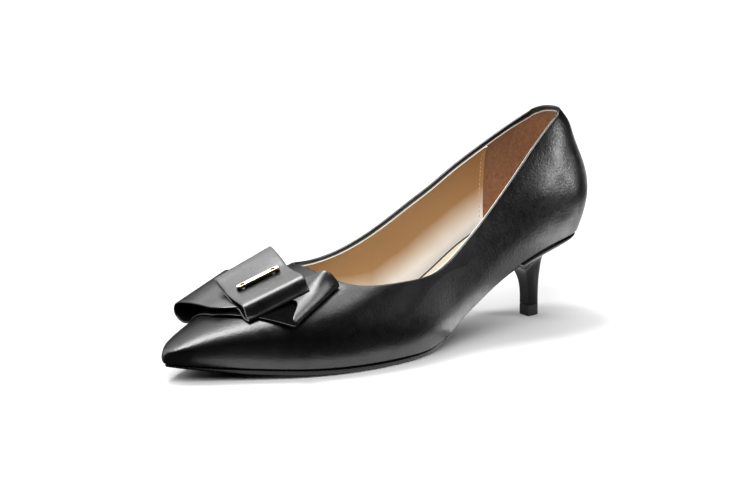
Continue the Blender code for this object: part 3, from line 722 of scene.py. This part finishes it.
def make_piece(name, vertices, faces, *materials):
    """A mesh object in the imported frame, its coincident vertices merged and its faces turned outwards."""
    mesh = bpy.data.meshes.new(name)
    points = np.asarray(vertices).reshape(-1, 3) + (MIDDLE_X, 0.0, 0.0)
    mesh.from_pydata(points.tolist(), [], faces)
    shape = bmesh.new()
    shape.from_mesh(mesh)
    bmesh.ops.remove_doubles(shape, verts=shape.verts, dist=MERGE)
    bmesh.ops.recalc_face_normals(shape, faces=shape.faces)
    shape.to_mesh(mesh)
    shape.free()
    mesh.shade_smooth()
    mesh.set_sharp_from_angle(angle=SHARP_ANGLE)
    for material in materials:
        mesh.materials.append(material)
    return add_object(name, mesh)


def settle(piece, slot, *nodes):
    """Let a piece ride on the shoe and stand for CAD nodes; the slot is not used."""
    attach(piece, "root")
    if nodes:
        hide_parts(*nodes)
    return piece


def rounded_edge(middle, normal, outward, radius, steps):
    """Rows of a half round from the side that a normal points to, by way of outward, to the other side."""
    rows = []
    for angle in np.arange(1, steps) * math.pi / steps:
        rows.append(middle + (normal * math.cos(angle) + outward * math.sin(angle)) * radius)
    return np.stack(rows, axis=1)


def make_upper(wall, material):
    """Outer leather: turned in at the feather line and folded over at the topline."""
    depth = wall.leather_at(wall.walked) * wall.narrowing(wall.points)
    inner = wall.points - wall.normals * depth[..., None]
    radius = depth[:, -1, None] / 2
    middle = wall.points[:, -1] - wall.normals[:, -1] * radius
    rim = rounded_edge(middle, wall.normals[:, -1], wall.top_direction, radius, RIM_STEPS)
    profile = np.concatenate([wall.points, rim, inner[:, ::-1]], axis=1)
    faces = grid_faces(*profile.shape[:2], True, True)
    return settle(make_piece("upper_leather", profile, faces, material), "upper_leather", "upper")


def lining_strip(name, wall, chosen, thickness, ridge, face, edge):
    """Layer behind the leather over some columns of the wall, with a ridge at its ends and a cut edge."""
    low_rows = np.linspace(0, LINING_ROWS_END, LINING_ROWS)
    share = np.concatenate([low_rows, np.linspace(LINING_TOP_START, 1, LINING_ROWS // 2)])
    last = wall.length + wall.lining_edge()
    walked = LINING_START + (last - LINING_START)[:, None] * share
    points, normals = wall.at(walked)
    narrow = wall.narrowing(points)
    front = (wall.leather_at(walked) + LAYER_GAP) * narrow
    outer = (points - normals * front[..., None])[chosen]
    inner = (points - normals * (front + thickness * narrow)[..., None])[chosen]
    for column in (0, -1):
        inner[column] -= normals[chosen][column] * ridge
    columns, rows = outer.shape[:2]
    profile = np.concatenate([outer, inner[:, ::-1]], axis=1)
    faces = grid_faces(columns, 2 * rows, False, True)
    for column in (0, columns - 1):
        first = column * 2 * rows
        for row in range(rows - 1):
            far = first + 2 * rows - 1 - row
            faces.append((first + row, first + row + 1, far - 1, far))
    piece = make_piece(name, profile, faces, face, edge)
    paint_cut_edge(piece, columns, rows)
    return settle(piece, "lining"), inner


def paint_cut_edge(piece, columns, rows):
    """Give the faces round the top and at the ends of a layer the cut edge's material."""
    per_strip = 2 * rows
    for polygon in piece.data.polygons:
        from_top = abs(polygon.index % per_strip - (rows - 1))
        if polygon.index >= (columns - 1) * per_strip or from_top <= CUT_EDGE_ROWS:
            polygon.material_index = 1


def make_lining(wall, face, edge):
    """Lining from the heel grip's seam on one side round the toe to the seam on the other."""
    chosen = np.where(wall.feather >= GRIP_STATION)[0]
    return lining_strip("lining", wall, chosen, LINING, SEAM_RIDGE, face, edge)


def make_heel_grip(wall, face, edge):
    """Soft lining round the back of the heel, between the two seams."""
    count = len(wall.feather)
    behind = np.where(wall.feather < GRIP_STATION)[0]
    start = np.where(np.diff(behind) > 1)[0][0] + 1
    chosen = np.concatenate([behind[start:], behind[:start]])
    chosen = np.concatenate([[(chosen[0] - 1) % count], chosen, [(chosen[-1] + 1) % count]])
    return lining_strip("heel_grip", wall, chosen, HEEL_GRIP, 0.0, face, edge)


def capsule(shape, start, end, radius, out):
    """A slim round-ended stitch from start to end, half sunk into what it is sewn through."""
    start, end, out = Vector(start), Vector(end), Vector(out)
    along = (end - start).normalized()
    side = along.cross(out).normalized()
    middle = (start + end) / 2
    turned = Matrix((along, side, out)).transposed().to_4x4()
    sizes = Matrix.Diagonal(((end - start).length / 2, radius, radius, 1.0))
    matrix = Matrix.Translation(middle) @ turned @ sizes
    bmesh.ops.create_uvsphere(shape, u_segments=8, v_segments=6, radius=1.0, matrix=matrix)


def make_stitches(inner, material):
    """Stitches down the lining beside each seam of the heel grip."""
    mesh = bpy.data.meshes.new("grip_stitches")
    shape = bmesh.new()
    for column, beside in ((STITCH_INSET_COLUMNS, 0), (-1 - STITCH_INSET_COLUMNS, -1)):
        line = inner[column] + (MIDDLE_X, 0.0, 0.0)
        out = unit(np.cross(np.gradient(line, axis=0), inner[beside] - inner[column]))
        walked = distance_along(line)
        for at in np.arange(STITCH_LOW_LEFT, walked[-1] - STITCH_TOP_LEFT, STITCH_PITCH):
            start, end = walk_to((at, at + STITCH_LENGTH), walked, line)
            facing = walk_to(at, walked, out)
            capsule(shape, start, end, STITCH_RADIUS, facing * np.sign(facing[0] * -start[0]))
    shape.to_mesh(mesh)
    shape.free()
    mesh.shade_smooth()
    mesh.materials.append(material)
    return settle(add_object("grip_stitches", mesh), "lining")


def crossings(lateral, medial, cells):
    """Rows of plan points from the lateral to the medial edge, closer together near both."""
    share = (1 - np.cos(np.pi * np.arange(cells + 1) / cells)) / 2
    return lateral[:, None] * (1 - share[None, :, None]) + medial[:, None] * share[None, :, None]


def from_sides(plan):
    """Distance of each plan point from the nearer end of its row."""
    return np.minimum(*(np.linalg.norm(plan - plan[:, [end]], axis=-1) for end in (0, -1)))


def rounded_off(from_edge, radius):
    """How far a rounded edge falls away from its flat face, by the distance from the edge."""
    left = np.clip(radius - from_edge, 0, None)
    return radius - np.sqrt(radius**2 - left**2)


def make_sock(material, gap_shadow_material):
    """Padded sock on the insole, thicker under the arch, its rounded edge painted dark as the shadow in its
    gap to the wall.
    """
    stations = station_from_turn(np.arange(SOLE_ROWS + 1) / SOLE_ROWS)
    lateral, medial = feather_sides(stations, -UPPER_WALL - SOCK_GAP)
    kept = (lateral[:, 0] - medial[:, 0] > TOE_WIDTH_LEFT) | (stations <= 0)
    plan = crossings(lateral[kept], medial[kept], SOCK_CELLS)
    low = bottom_height(plan[..., 1])
    edge = from_sides(plan)
    padding = spline(*zip(*SOCK_PADDING), True)
    top = low + INSOLE_THICKNESS + padding(station_at(plan[..., 1])) - rounded_off(edge, SOCK_ROUND)
    rows, columns = plan.shape[:2]
    under = np.dstack([plan, low])
    for column, side in zip((0, -1), feather_sides(stations, -LEATHER - SOCK_FLANGE_GAP)):
        under[:, column, :2] = side[kept]
        under[:, column, 2] += SOCK_FLANGE_HEIGHT
    piece = closed_sheet("sock", np.concatenate([np.dstack([plan, top]), under]), rows, columns, material)
    piece.data.materials.append(gap_shadow_material)
    # Faces near the rim take the painted shadow of the gap to the wall
    from_edge = np.tile(edge.ravel(), 2)
    for polygon in piece.data.polygons:
        polygon.material_index = 1 if from_edge[list(polygon.vertices)].min() < SOCK_PAINTED_SHADOW else 0
    return settle(piece, "lining", "insole")


def closed_sheet(name, vertices, rows, columns, material):
    """A sheet with a top and an underside of equal grids, closed round its rim."""
    sheet = grid_faces(rows, columns)
    under = rows * columns
    faces = sheet + [tuple(i + under for i in reversed(face)) for face in sheet]
    ring = [i * columns for i in range(rows)]
    ring += [(rows - 1) * columns + j for j in range(1, columns)]
    ring += [i * columns + columns - 1 for i in range(rows - 2, -1, -1)]
    ring += list(range(columns - 2, 0, -1))
    for here, beyond in zip(ring, ring[1:] + ring[:1]):
        faces.append((here, beyond, beyond + under, here + under))
    return make_piece(name, vertices, faces, material)


def make_sole(material):
    """Thin sole with a rounded edge, from the heel breast to the toe."""
    start = turn(BREAST_STATION + GAP / LENGTH)
    stations = station_from_turn(start + (1 - start) * np.arange(SOLE_ROWS + 1) / SOLE_ROWS)
    edge = spline(*zip(*SOLE_EDGE), True)
    lateral, medial = feather_sides(stations, edge(stations))
    plan = crossings(lateral, medial, SOLE_CELLS)
    rows, columns = plan.shape[:2]
    from_edge = from_sides(plan)
    top = bottom_height(plan[..., 1]) - SOLE_GAP
    taper = smooth_step((station_at(plan[..., 1]) - SOLE_TAPER_STATION) / (1 - SOLE_TAPER_STATION))
    thickness = SOLE_THICKNESS + (SOLE_TOE_THICKNESS - SOLE_THICKNESS) * taper
    round_low = SOLE_ROUND_LOW * thickness / SOLE_THICKNESS
    low = np.maximum(top - thickness, 0) + rounded_off(from_edge, round_low)
    top = top - rounded_off(from_edge, SOLE_ROUND_TOP)
    vertices = np.concatenate([np.dstack([plan, top]), np.dstack([plan, low])])
    return settle(closed_sheet("sole", vertices, rows, columns, material), "sole", "outsole")


def seat_ring():
    """Plan outline of the heel seat, from the lateral breast corner round the back to the medial one."""
    share = np.arange(HEEL_SIDE_POINTS + 1) / HEEL_SIDE_POINTS
    stations = station_from_turn(turn(BREAST_STATION) * share)
    lateral, medial = feather_sides(stations, -HEEL_SEAT_INSET)
    return np.concatenate([lateral[::-1], medial[1:]])


def heel_section(width, forward, backward):
    """The seat's outline drawn in to a width and to ends between the seat's and the tip's."""
    seat = seat_ring()
    front, back = seat[:, 1].min(), seat[:, 1].max()
    length_share = (seat[:, 1] - front) / (back - front)
    row_front = front + (HEEL_TIP_Y - HEEL_TIP_HALF_LENGTH - front) * forward
    row_back = back + (HEEL_TIP_Y + HEEL_TIP_HALF_LENGTH - back) * backward
    return np.stack([seat[:, 0] * width, row_front + (row_back - row_front) * length_share], axis=1)


def loft_rings(name, rings, material):
    """Solid through rings of equal length, closed across from side to side at both ends."""
    count = rings.shape[1]
    faces = grid_faces(len(rings), count, False, True)
    for first in (0, (len(rings) - 1) * count):
        for i in range(count // 2):
            far = count - 1 - i
            corners = [first + i, first + i + 1, first + far - 1, first + far]
            faces.append(tuple(dict.fromkeys(corners)))
    return make_piece(name, rings, faces, material)


def round_edges(piece, width, segments=4):
    """Round off a piece's sharp edges."""
    bevel = piece.modifiers.new("Rounded edges", "BEVEL")
    bevel.width = width
    bevel.segments = segments
    bevel.limit_method = "ANGLE"
    bevel.angle_limit = SHARP_ANGLE
    bevel.harden_normals = True
    return piece


def make_heel(material):
    """Moulded heel that sweeps in from the seat to a slim stem."""
    table = np.array(HEEL_ROWS)
    curves = [spline(table[:, 0], column, False) for column in table.T[1:]]
    seat_z = bottom_height(seat_ring()[:, 1]) - GAP
    rings = []
    for down in (np.arange(HEEL_RINGS + 1) / HEEL_RINGS) ** HEEL_RING_CROWDING:
        z = seat_z + (TOP_PIECE_HEIGHT - seat_z) * down
        section = heel_section(*(curve(down) for curve in curves))
        rings.append(np.column_stack([section, z]))
    piece = loft_rings("heel_block", np.array(rings), material)
    return settle(round_edges(piece, HEEL_BEVEL), "heel", "heel")


def make_lift(material):
    """Lift under the heel's stem, flat on the floor."""
    tip = heel_section(*HEEL_ROWS[-1][1:])
    rings = [np.column_stack([tip, np.full(len(tip), z)]) for z in (TOP_PIECE_HEIGHT - GAP, 0.0)]
    piece = loft_rings("heel_lift", np.array(rings), material)
    return settle(round_edges(piece, LIFT_BEVEL), "top_piece", "top_piece")


def bow_sheet(table):
    """Middle surface of a loop's strip: rings across its width, each lifted clear of the vamp."""
    rows = [(row + BOW_PLAIN_END)[:len(BOW_COLUMNS)] for row in table]
    columns = dict(zip(BOW_COLUMNS, closed_spline(rows, BOW_SPANS).T))
    turned = np.radians(columns["turn"])
    level = BOW_WIDTH / np.sqrt(1 + columns["pitch"] ** 2)
    points = []
    for share in np.arange(BOW_CELLS + 1) / BOW_CELLS - 0.5:
        reach = share * level * (columns["front"] if share < 0 else 1.0)
        x = columns["x"] * MILLIMETRE + reach * np.sin(turned)
        y = columns["y"] * MILLIMETRE + reach * np.cos(turned)
        lift = columns["curl"] * (2 * max(share, 0.0)) ** 2
        z = (columns["z"] + lift) * MILLIMETRE + reach * columns["pitch"]
        z = np.maximum(z, vamp_height(x, y, columns["clear"] * MILLIMETRE))
        points.append(np.stack([x, y, z], axis=1))
    return np.stack(points, axis=1)


def make_bow_loop(name, table, node, *finishes):
    """A strip folded into a flat loop: finishes of its outside, its front cut edge and its inside."""
    sheet = bow_sheet(table)
    around = np.roll(sheet, -1, axis=0) - np.roll(sheet, 1, axis=0)
    across = np.gradient(sheet, axis=1)
    normals = unit(np.cross(around, across))
    half = BOW_THICKNESS / 2
    profile = np.concatenate([
        sheet + normals * half,
        rounded_edge(sheet[:, -1], normals[:, -1], unit(across[:, -1]), half, BOW_EDGE_STEPS),
        (sheet - normals * half)[:, ::-1],
        rounded_edge(sheet[:, 0], -normals[:, 0], unit(-across[:, 0]), half, BOW_EDGE_STEPS)], axis=1)
    rows, columns = profile.shape[:2]
    piece = make_piece(name, profile, grid_faces(rows, columns, True, True), *finishes)
    for polygon in piece.data.polygons:
        column = polygon.index % columns
        if column >= columns - BOW_EDGE_STEPS:
            polygon.material_index = 1
        elif column >= BOW_CELLS + BOW_EDGE_STEPS:
            polygon.material_index = 2
    return settle(piece, "bow_leather", node)


def add_outline(curve, points):
    """A closed outline of straight steps on a flat curve."""
    outline = curve.splines.new("POLY")
    outline.points.add(len(points) - 1)
    for point, (x, y) in zip(outline.points, points):
        point.co = (x, y, 0.0, 1.0)
    outline.use_cyclic_u = True


def arc(centre, radius, start, end, steps):
    """Points of an arc on the bar's own plane, its centre on the bar's long axis."""
    angles = start + (end - start) * np.arange(steps + 1) / steps
    return [(radius * math.cos(angle), centre + radius * math.sin(angle)) for angle in angles]


def bar_curve():
    """Flat curve with the bar's round-ended outline and its two pin holes, and a rounded edge."""
    curve = bpy.data.curves.new("gold_bar", "CURVE")
    curve.dimensions = "2D"
    curve.fill_mode = "BOTH"
    curve.extrude = BAR_THICKNESS / 2 - BAR_BEVEL
    curve.bevel_depth = BAR_BEVEL
    curve.bevel_resolution = 3
    curve.offset = -BAR_BEVEL
    end = (BAR_LENGTH - BAR_WIDTH) / 2
    outline = arc(end, BAR_WIDTH / 2, 0, math.pi, BAR_CURVE_POINTS)
    outline += arc(-end, BAR_WIDTH / 2, math.pi, 2 * math.pi, BAR_CURVE_POINTS)
    add_outline(curve, outline)
    for hole in (BAR_LENGTH / 2 - BAR_HOLE_INSET, BAR_HOLE_INSET - BAR_LENGTH / 2):
        add_outline(curve, arc(hole, BAR_HOLE_RADIUS, 0, 2 * math.pi, BAR_CURVE_POINTS)[:-1])
    return curve


def darken_holes(mesh):
    """Give the walls of the bar's pin holes its second material."""
    for polygon in mesh.polygons:
        from_hole = abs(polygon.center.y) - BAR_LENGTH / 2 + BAR_HOLE_INSET
        inside = math.hypot(polygon.center.x, from_hole) < BAR_HOLE_RADIUS + BAR_BEVEL / 2
        polygon.material_index = 1 if inside else 0


def make_bar(material, hole_material):
    """Round-ended bar with two pin holes, lying along the middle of the upper loop."""
    drawn = add_object("bar_outline", bar_curve())
    bpy.context.view_layer.update()
    mesh = bpy.data.meshes.new_from_object(drawn.evaluated_get(bpy.context.evaluated_depsgraph_get()))
    bpy.data.objects.remove(drawn)
    mesh.name = "gold_bar"
    mesh.materials.clear()
    mesh.materials.append(material)
    mesh.materials.append(hole_material)
    darken_holes(mesh)
    under = dict(zip(BOW_COLUMNS, BOW_UPPER[BOW_PINNED_ROW]))
    lift = BOW_THICKNESS / 2 + BAR_SEAT_GAP + BAR_THICKNESS / 2
    at = Vector((under["x"], under["y"], under["z"])) * MILLIMETRE + Vector((MIDDLE_X, 0.0, lift))
    turned = Matrix.Rotation(-math.radians(under["turn"]), 4, "Z")
    pitched = Matrix.Rotation(math.atan(under["pitch"]), 4, "X")
    mesh.transform(Matrix.Translation(at) @ turned @ pitched)
    mesh.shade_smooth()
    mesh.set_sharp_from_angle(angle=SHARP_ANGLE)
    return settle(add_object("gold_bar", mesh), "bar", "bar")


def set_input(tree, socket, value):
    """Link an input to another node's output, or set it to a constant."""
    if isinstance(value, bpy.types.NodeSocket):
        tree.links.new(value, socket)
    else:
        socket.default_value = value


def fill_inputs(tree, node, **values):
    """Set a node's inputs, called by plain words for their names."""
    for word, value in values.items():
        name = word.replace("_", " ").title().replace("Ior", "IOR")
        set_input(tree, node.inputs[name], value)


def add_node(tree, kind, output, settings=None, **values):
    """An output of a new node with its settings and inputs."""
    node = tree.nodes.new(kind)
    for name, value in (settings or {}).items():
        setattr(node, name, value)
    fill_inputs(tree, node, **values)
    return node.outputs[output]


def calculate(tree, operation, *values, kind="ShaderNodeMath"):
    """Result of an operation on numbers and other nodes' outputs."""
    node = tree.nodes.new(kind)
    node.operation = operation
    for socket, value in zip(node.inputs, values):
        set_input(tree, socket, value)
    return node.outputs["Value"]


def place_in(tree):
    """Place of a surface point in metres."""
    return tree.nodes.new("ShaderNodeTexCoord").outputs["Object"]


def noise(tree, scale, detail=3.0, roughness=0.5):
    """Soft noise with a scale per metre."""
    place = place_in(tree)
    return add_node(
        tree, "ShaderNodeTexNoise", "Fac", vector=place, scale=scale, detail=detail, roughness=roughness)


def cells(tree, scale):
    """Distance from the edges of small irregular cells, as in leather's grain."""
    edges = {"feature": "DISTANCE_TO_EDGE"}
    return add_node(tree, "ShaderNodeTexVoronoi", "Distance", edges, vector=place_in(tree), scale=scale)


def colour_ramp(tree, factor, colours, places=MINGLE_RANGE):
    """Colours that change from one to the next as a factor goes through some places."""
    ramp = tree.nodes.new("ShaderNodeValToRGB")
    fill_inputs(tree, ramp, fac=factor)
    elements = ramp.color_ramp.elements
    while len(elements) < len(places):
        elements.new(1.0)
    for element, at, colour in zip(elements, places, colours):
        element.position = at
        element.color = (*colour, 1.0)
    return ramp.outputs["Color"]


def spread(tree, factor, low, high):
    """The middle of a noise's range spread over low to high."""
    start, end = SPREAD_RANGE
    return add_node(
        tree, "ShaderNodeMapRange", "Result",
        value=factor, from_min=start, from_max=end, to_min=low, to_max=high)


def bump(tree, height, strength, distance, **below):
    """Normal of a bumpy surface; the normal of a layer below it may be given."""
    return add_node(
        tree, "ShaderNodeBump", "Normal", height=height, strength=strength, distance=distance, **below)


def new_material(name):
    """A node material and its tree."""
    material = bpy.data.materials.new(name)
    material.use_nodes = True
    return material, material.node_tree


def shade(tree, **inputs):
    """Set the inputs of a material's shader."""
    fill_inputs(tree, tree.nodes["Principled BSDF"], **inputs)


def leather(name):
    """Finished leather: waves, pebbles, pores and fine cells, uneven colour and uneven gloss."""
    dark, light, rough, grain, depth, pebble, specular = LEATHERS[name]
    material, tree = new_material(name)
    waves = bump(tree, noise(tree, scale=140.0, detail=2.0), strength=0.25, distance=0.0003)
    pebbles = bump(tree, noise(tree, scale=760.0, detail=2.0), strength=1.0, distance=pebble, normal=waves)
    pores = bump(
        tree, noise(tree, scale=2.2 * grain, detail=2.0), strength=0.5, distance=0.6 * depth, normal=pebbles)
    shade(
        tree, specular_ior_level=specular,
        base_color=colour_ramp(tree, noise(tree, scale=90.0), (dark, light)),
        roughness=spread(tree, noise(tree, scale=220.0), *rough),
        normal=bump(tree, cells(tree, grain), strength=0.6, distance=depth, normal=pores))
    return material


def rise_above_sock(tree):
    """Height of a surface point above the slope of the sock, which is level under the ball."""
    parts = tree.nodes.new("ShaderNodeSeparateXYZ")
    fill_inputs(tree, parts, vector=place_in(tree))
    slope = calculate(tree, "MULTIPLY_ADD", parts.outputs["Y"], SOCK_SLOPE, SOCK_START)
    return calculate(tree, "SUBTRACT", parts.outputs["Z"], calculate(tree, "MAXIMUM", slope, SOCK_LEVEL))


def lining_with_painted_shade(name):
    """Smooth lining leather that pales from tan at the topline to cream near the sock: painted shade towards
    the topline and painted light near the sock.
    """
    material, tree = new_material(name)
    uneven = calculate(tree, "MULTIPLY_ADD", noise(tree, scale=60.0), LINING_UNEVEN, rise_above_sock(tree))
    share = calculate(tree, "MULTIPLY", uneven, 1 / LINING_FULL_RISE)
    waves = bump(tree, noise(tree, scale=110.0, detail=2.0), strength=0.3, distance=0.0004)
    shade(
        tree, base_color=colour_ramp(tree, share, LINING_LIT_AND_SHADED_COLOURS, LINING_BLEND),
        roughness=spread(tree, noise(tree, scale=220.0), low=0.50, high=0.62),
        normal=bump(tree, cells(tree, scale=2200.0), strength=0.5, distance=0.00002, normal=waves))
    return material


def suede(name):
    """Napped leather: mottled, matt and soft."""
    material, tree = new_material(name)
    mottling = noise(tree, scale=500.0, detail=5.0, roughness=0.7)
    nap = noise(tree, scale=2600.0, detail=4.0, roughness=0.7)
    shade(
        tree, sheen_weight=0.3, sheen_roughness=0.5,
        base_color=colour_ramp(tree, mottling, SUEDES[name]),
        roughness=spread(tree, noise(tree, scale=300.0), low=0.80, high=0.95),
        normal=bump(tree, nap, strength=0.6, distance=0.00015))
    return material


def moulded(name):
    """Polished or moulded plastic and rubber: slight ripples and uneven gloss."""
    dark, light, rough, ripple, specular = MOULDED[name]
    material, tree = new_material(name)
    shade(
        tree, specular_ior_level=specular,
        base_color=colour_ramp(tree, noise(tree, scale=120.0), (dark, light)),
        roughness=spread(tree, noise(tree, scale=350.0, detail=4.0), *rough),
        normal=bump(tree, noise(tree, scale=180.0), strength=0.3, distance=ripple))
    return material


def gold(name):
    """Pale polished metal with a faint unevenness."""
    material, tree = new_material(name)
    shade(
        tree, metallic=1.0, base_color=colour_ramp(tree, noise(tree, scale=300.0), GOLD_COLOURS),
        roughness=spread(tree, noise(tree, scale=900.0), low=0.20, high=0.28),
        normal=bump(tree, noise(tree, scale=2500.0), strength=0.1, distance=0.00001))
    return material


def pale_floor(name):
    """Matt and nearly white."""
    material, tree = new_material(name)
    shade(
        tree, roughness=0.9, specular_ior_level=0.0,
        base_color=colour_ramp(tree, noise(tree, scale=3.0), FLOOR_COLOURS))
    return material


def glowing(name, glow):
    """Nearly even white light."""
    material, tree = new_material(name)
    shade(
        tree, emission_strength=glow,
        emission_color=colour_ramp(tree, noise(tree, scale=5.0), PANEL_COLOURS))
    return material


def facing(direction):
    """Rotation of a camera or a light that looks back from a direction."""
    return Vector(direction).to_track_quat("Z", "Y").to_euler()


def add_camera():
    """Camera at the photo's angle to the shoe."""
    flat = math.cos(CAMERA_ELEVATION)
    back = Vector((
        math.sin(CAMERA_AZIMUTH) * flat, -math.cos(CAMERA_AZIMUTH) * flat, math.sin(CAMERA_ELEVATION)))
    data = bpy.data.cameras.new("camera")
    data.sensor_width = SENSOR_WIDTH
    data.lens = PIXELS_PER_METRE * CAMERA_DISTANCE * SENSOR_WIDTH / IMAGE_WIDTH
    camera = add_object("camera", data)
    camera.location = Vector((MIDDLE_X, CAMERA_TARGET_Y, CAMERA_TARGET_Z)) + back * CAMERA_DISTANCE
    camera.rotation_euler = facing(back)
    bpy.context.scene.camera = camera


def rectangle(low_x, high_x, low_y, high_y, height):
    """Corners of a level rectangle."""
    plan = ((low_x, low_y), (high_x, low_y), (high_x, high_y), (low_x, high_y))
    return [(x, y, height) for x, y in plan]


def add_flat(name, material, *outlines):
    """An object on the stage with a flat face for each outline."""
    mesh = bpy.data.meshes.new(name)
    corners = []
    faces = []
    for outline in outlines:
        faces.append(tuple(range(len(corners), len(corners) + len(outline))))
        corners += outline
    mesh.from_pydata(corners, [], faces)
    mesh.materials.append(material)
    flat = add_object(name, mesh)
    return flat


def add_floor():
    """Plain pale floor."""
    half = FLOOR_HALF_SIZE
    add_flat("floor", pale_floor("pale_floor"), rectangle(-half, half, -half, half, 0.0))


def add_softbox(name, direction, distance, width, height, power):
    """A soft rectangular light facing the shoe."""
    data = bpy.data.lights.new(name, "AREA")
    data.shape = "RECTANGLE"
    data.size = width
    data.size_y = height
    data.energy = power
    box = add_object(name, data)
    box.location = Vector(direction).normalized() * distance
    box.rotation_euler = facing(direction)
    return box


def add_light_on(pieces, softbox):
    """A light that falls on some pieces and nothing else."""
    receivers = bpy.data.collections.new(softbox[0] + "_receivers")
    for piece in pieces:
        receivers.objects.link(piece)
    add_softbox(*softbox).light_linking.receiver_collection = receivers


def keep_to_gloss(card):
    """Let a card be seen only in the shoe's gloss."""
    card.visible_camera = False
    card.visible_diffuse = False
    card.visible_shadow = False


def add_dark_mat():
    """Black mats and a standing flag, to keep glare off the shoe's outer side."""
    plans = (MAT_OUTLINE, UNDER_MAT_OUTLINE)
    mats = [[(x + MIDDLE_X, y, MAT_HEIGHT) for x, y in plan] for plan in plans]
    flag = [(FLAG_X, y, z) for y, z in FLAG_OUTLINE]
    keep_to_gloss(add_flat("dark_mat", moulded("mat_black"), *mats, flag))


def add_lit_panel(name, low_x, high_x, low_y, high_y, height, glow):
    """A level panel that brightens a part of the shoe's gloss."""
    panel = rectangle(low_x, high_x, low_y, high_y, height)
    keep_to_gloss(add_flat(name, glowing(name + "_glow", glow), panel))


def add_lights():
    """Sun, softboxes, a light for the floor, and what shows in the gloss."""
    sun = bpy.data.lights.new("overhead", "SUN")
    sun.energy = SUN_STRENGTH
    sun.angle = SUN_ANGLE
    add_object("overhead", sun).rotation_euler = facing(SUN_FROM)
    for softbox in SOFTBOXES:
        add_softbox(*softbox)
    add_dark_mat()
    add_softbox(*FLOOR_FILL).visible_glossy = False
    for number, panel in enumerate(PANELS):
        add_lit_panel("lit_panel_%d" % number, *panel)
    add_room()
    bpy.context.scene.view_settings.view_transform = "Standard"
    bpy.context.scene.view_settings.gamma = DISPLAY_GAMMA


def add_room():
    """Dim room that glows softly from above on the left."""
    world = bpy.data.worlds.new("room")
    world.use_nodes = True
    tree = world.node_tree
    direction = tree.nodes.new("ShaderNodeTexCoord").outputs["Generated"]
    towards = Vector(ROOM_GLOW_FROM).normalized()
    nearness = calculate(tree, "DOT_PRODUCT", direction, towards, kind="ShaderNodeVectorMath")
    places, glows = zip(*ROOM_GLOW)
    colours = [(glow, glow, glow) for glow in glows]
    fill_inputs(tree, tree.nodes["Background"], color=colour_ramp(tree, nearness, colours, places))
    bpy.context.scene.world = world


def make_shoe():
    """All pieces of the shoe with their finishes, and the lights for its inside and its bow."""
    wall = Wall()
    make_upper(wall, leather("black_leather"))
    cut_edge = leather("lining_cut_edge")
    lining, lining_face = make_lining(wall, lining_with_painted_shade("lining_with_painted_shade"), cut_edge)
    grip, _ = make_heel_grip(wall, suede("heel_grip_suede"), cut_edge)
    stitches = make_stitches(lining_face, suede("thread"))
    sock = make_sock(leather("sock_leather"), leather("sock_edge_painted_shadow"))
    make_sole(moulded("sole_black"))
    make_heel(moulded("heel_black"))
    make_lift(moulded("lift_rubber"))
    black = leather("black_bow_leather")
    inside = moulded("bow_inside")
    lower = make_bow_loop("bow_lower_loop", BOW_LOWER, "bow_lower", black, black, inside)
    # The upper loop's front cut edge carries a painted highlight as well as a lighter raw edge
    upper = make_bow_loop("bow_upper_loop", BOW_UPPER, "bow_upper", black, leather("bow_cut_edge_and_highlight"), inside)
    bar = make_bar(gold("pale_gold"), moulded("hole_shade"))
    add_light_on((lining, grip, stitches, sock), INNER_FILL)
    add_light_on((lower, upper, bar), BOW_LIGHT)


add_camera()
add_floor()
add_lights()
make_shoe()
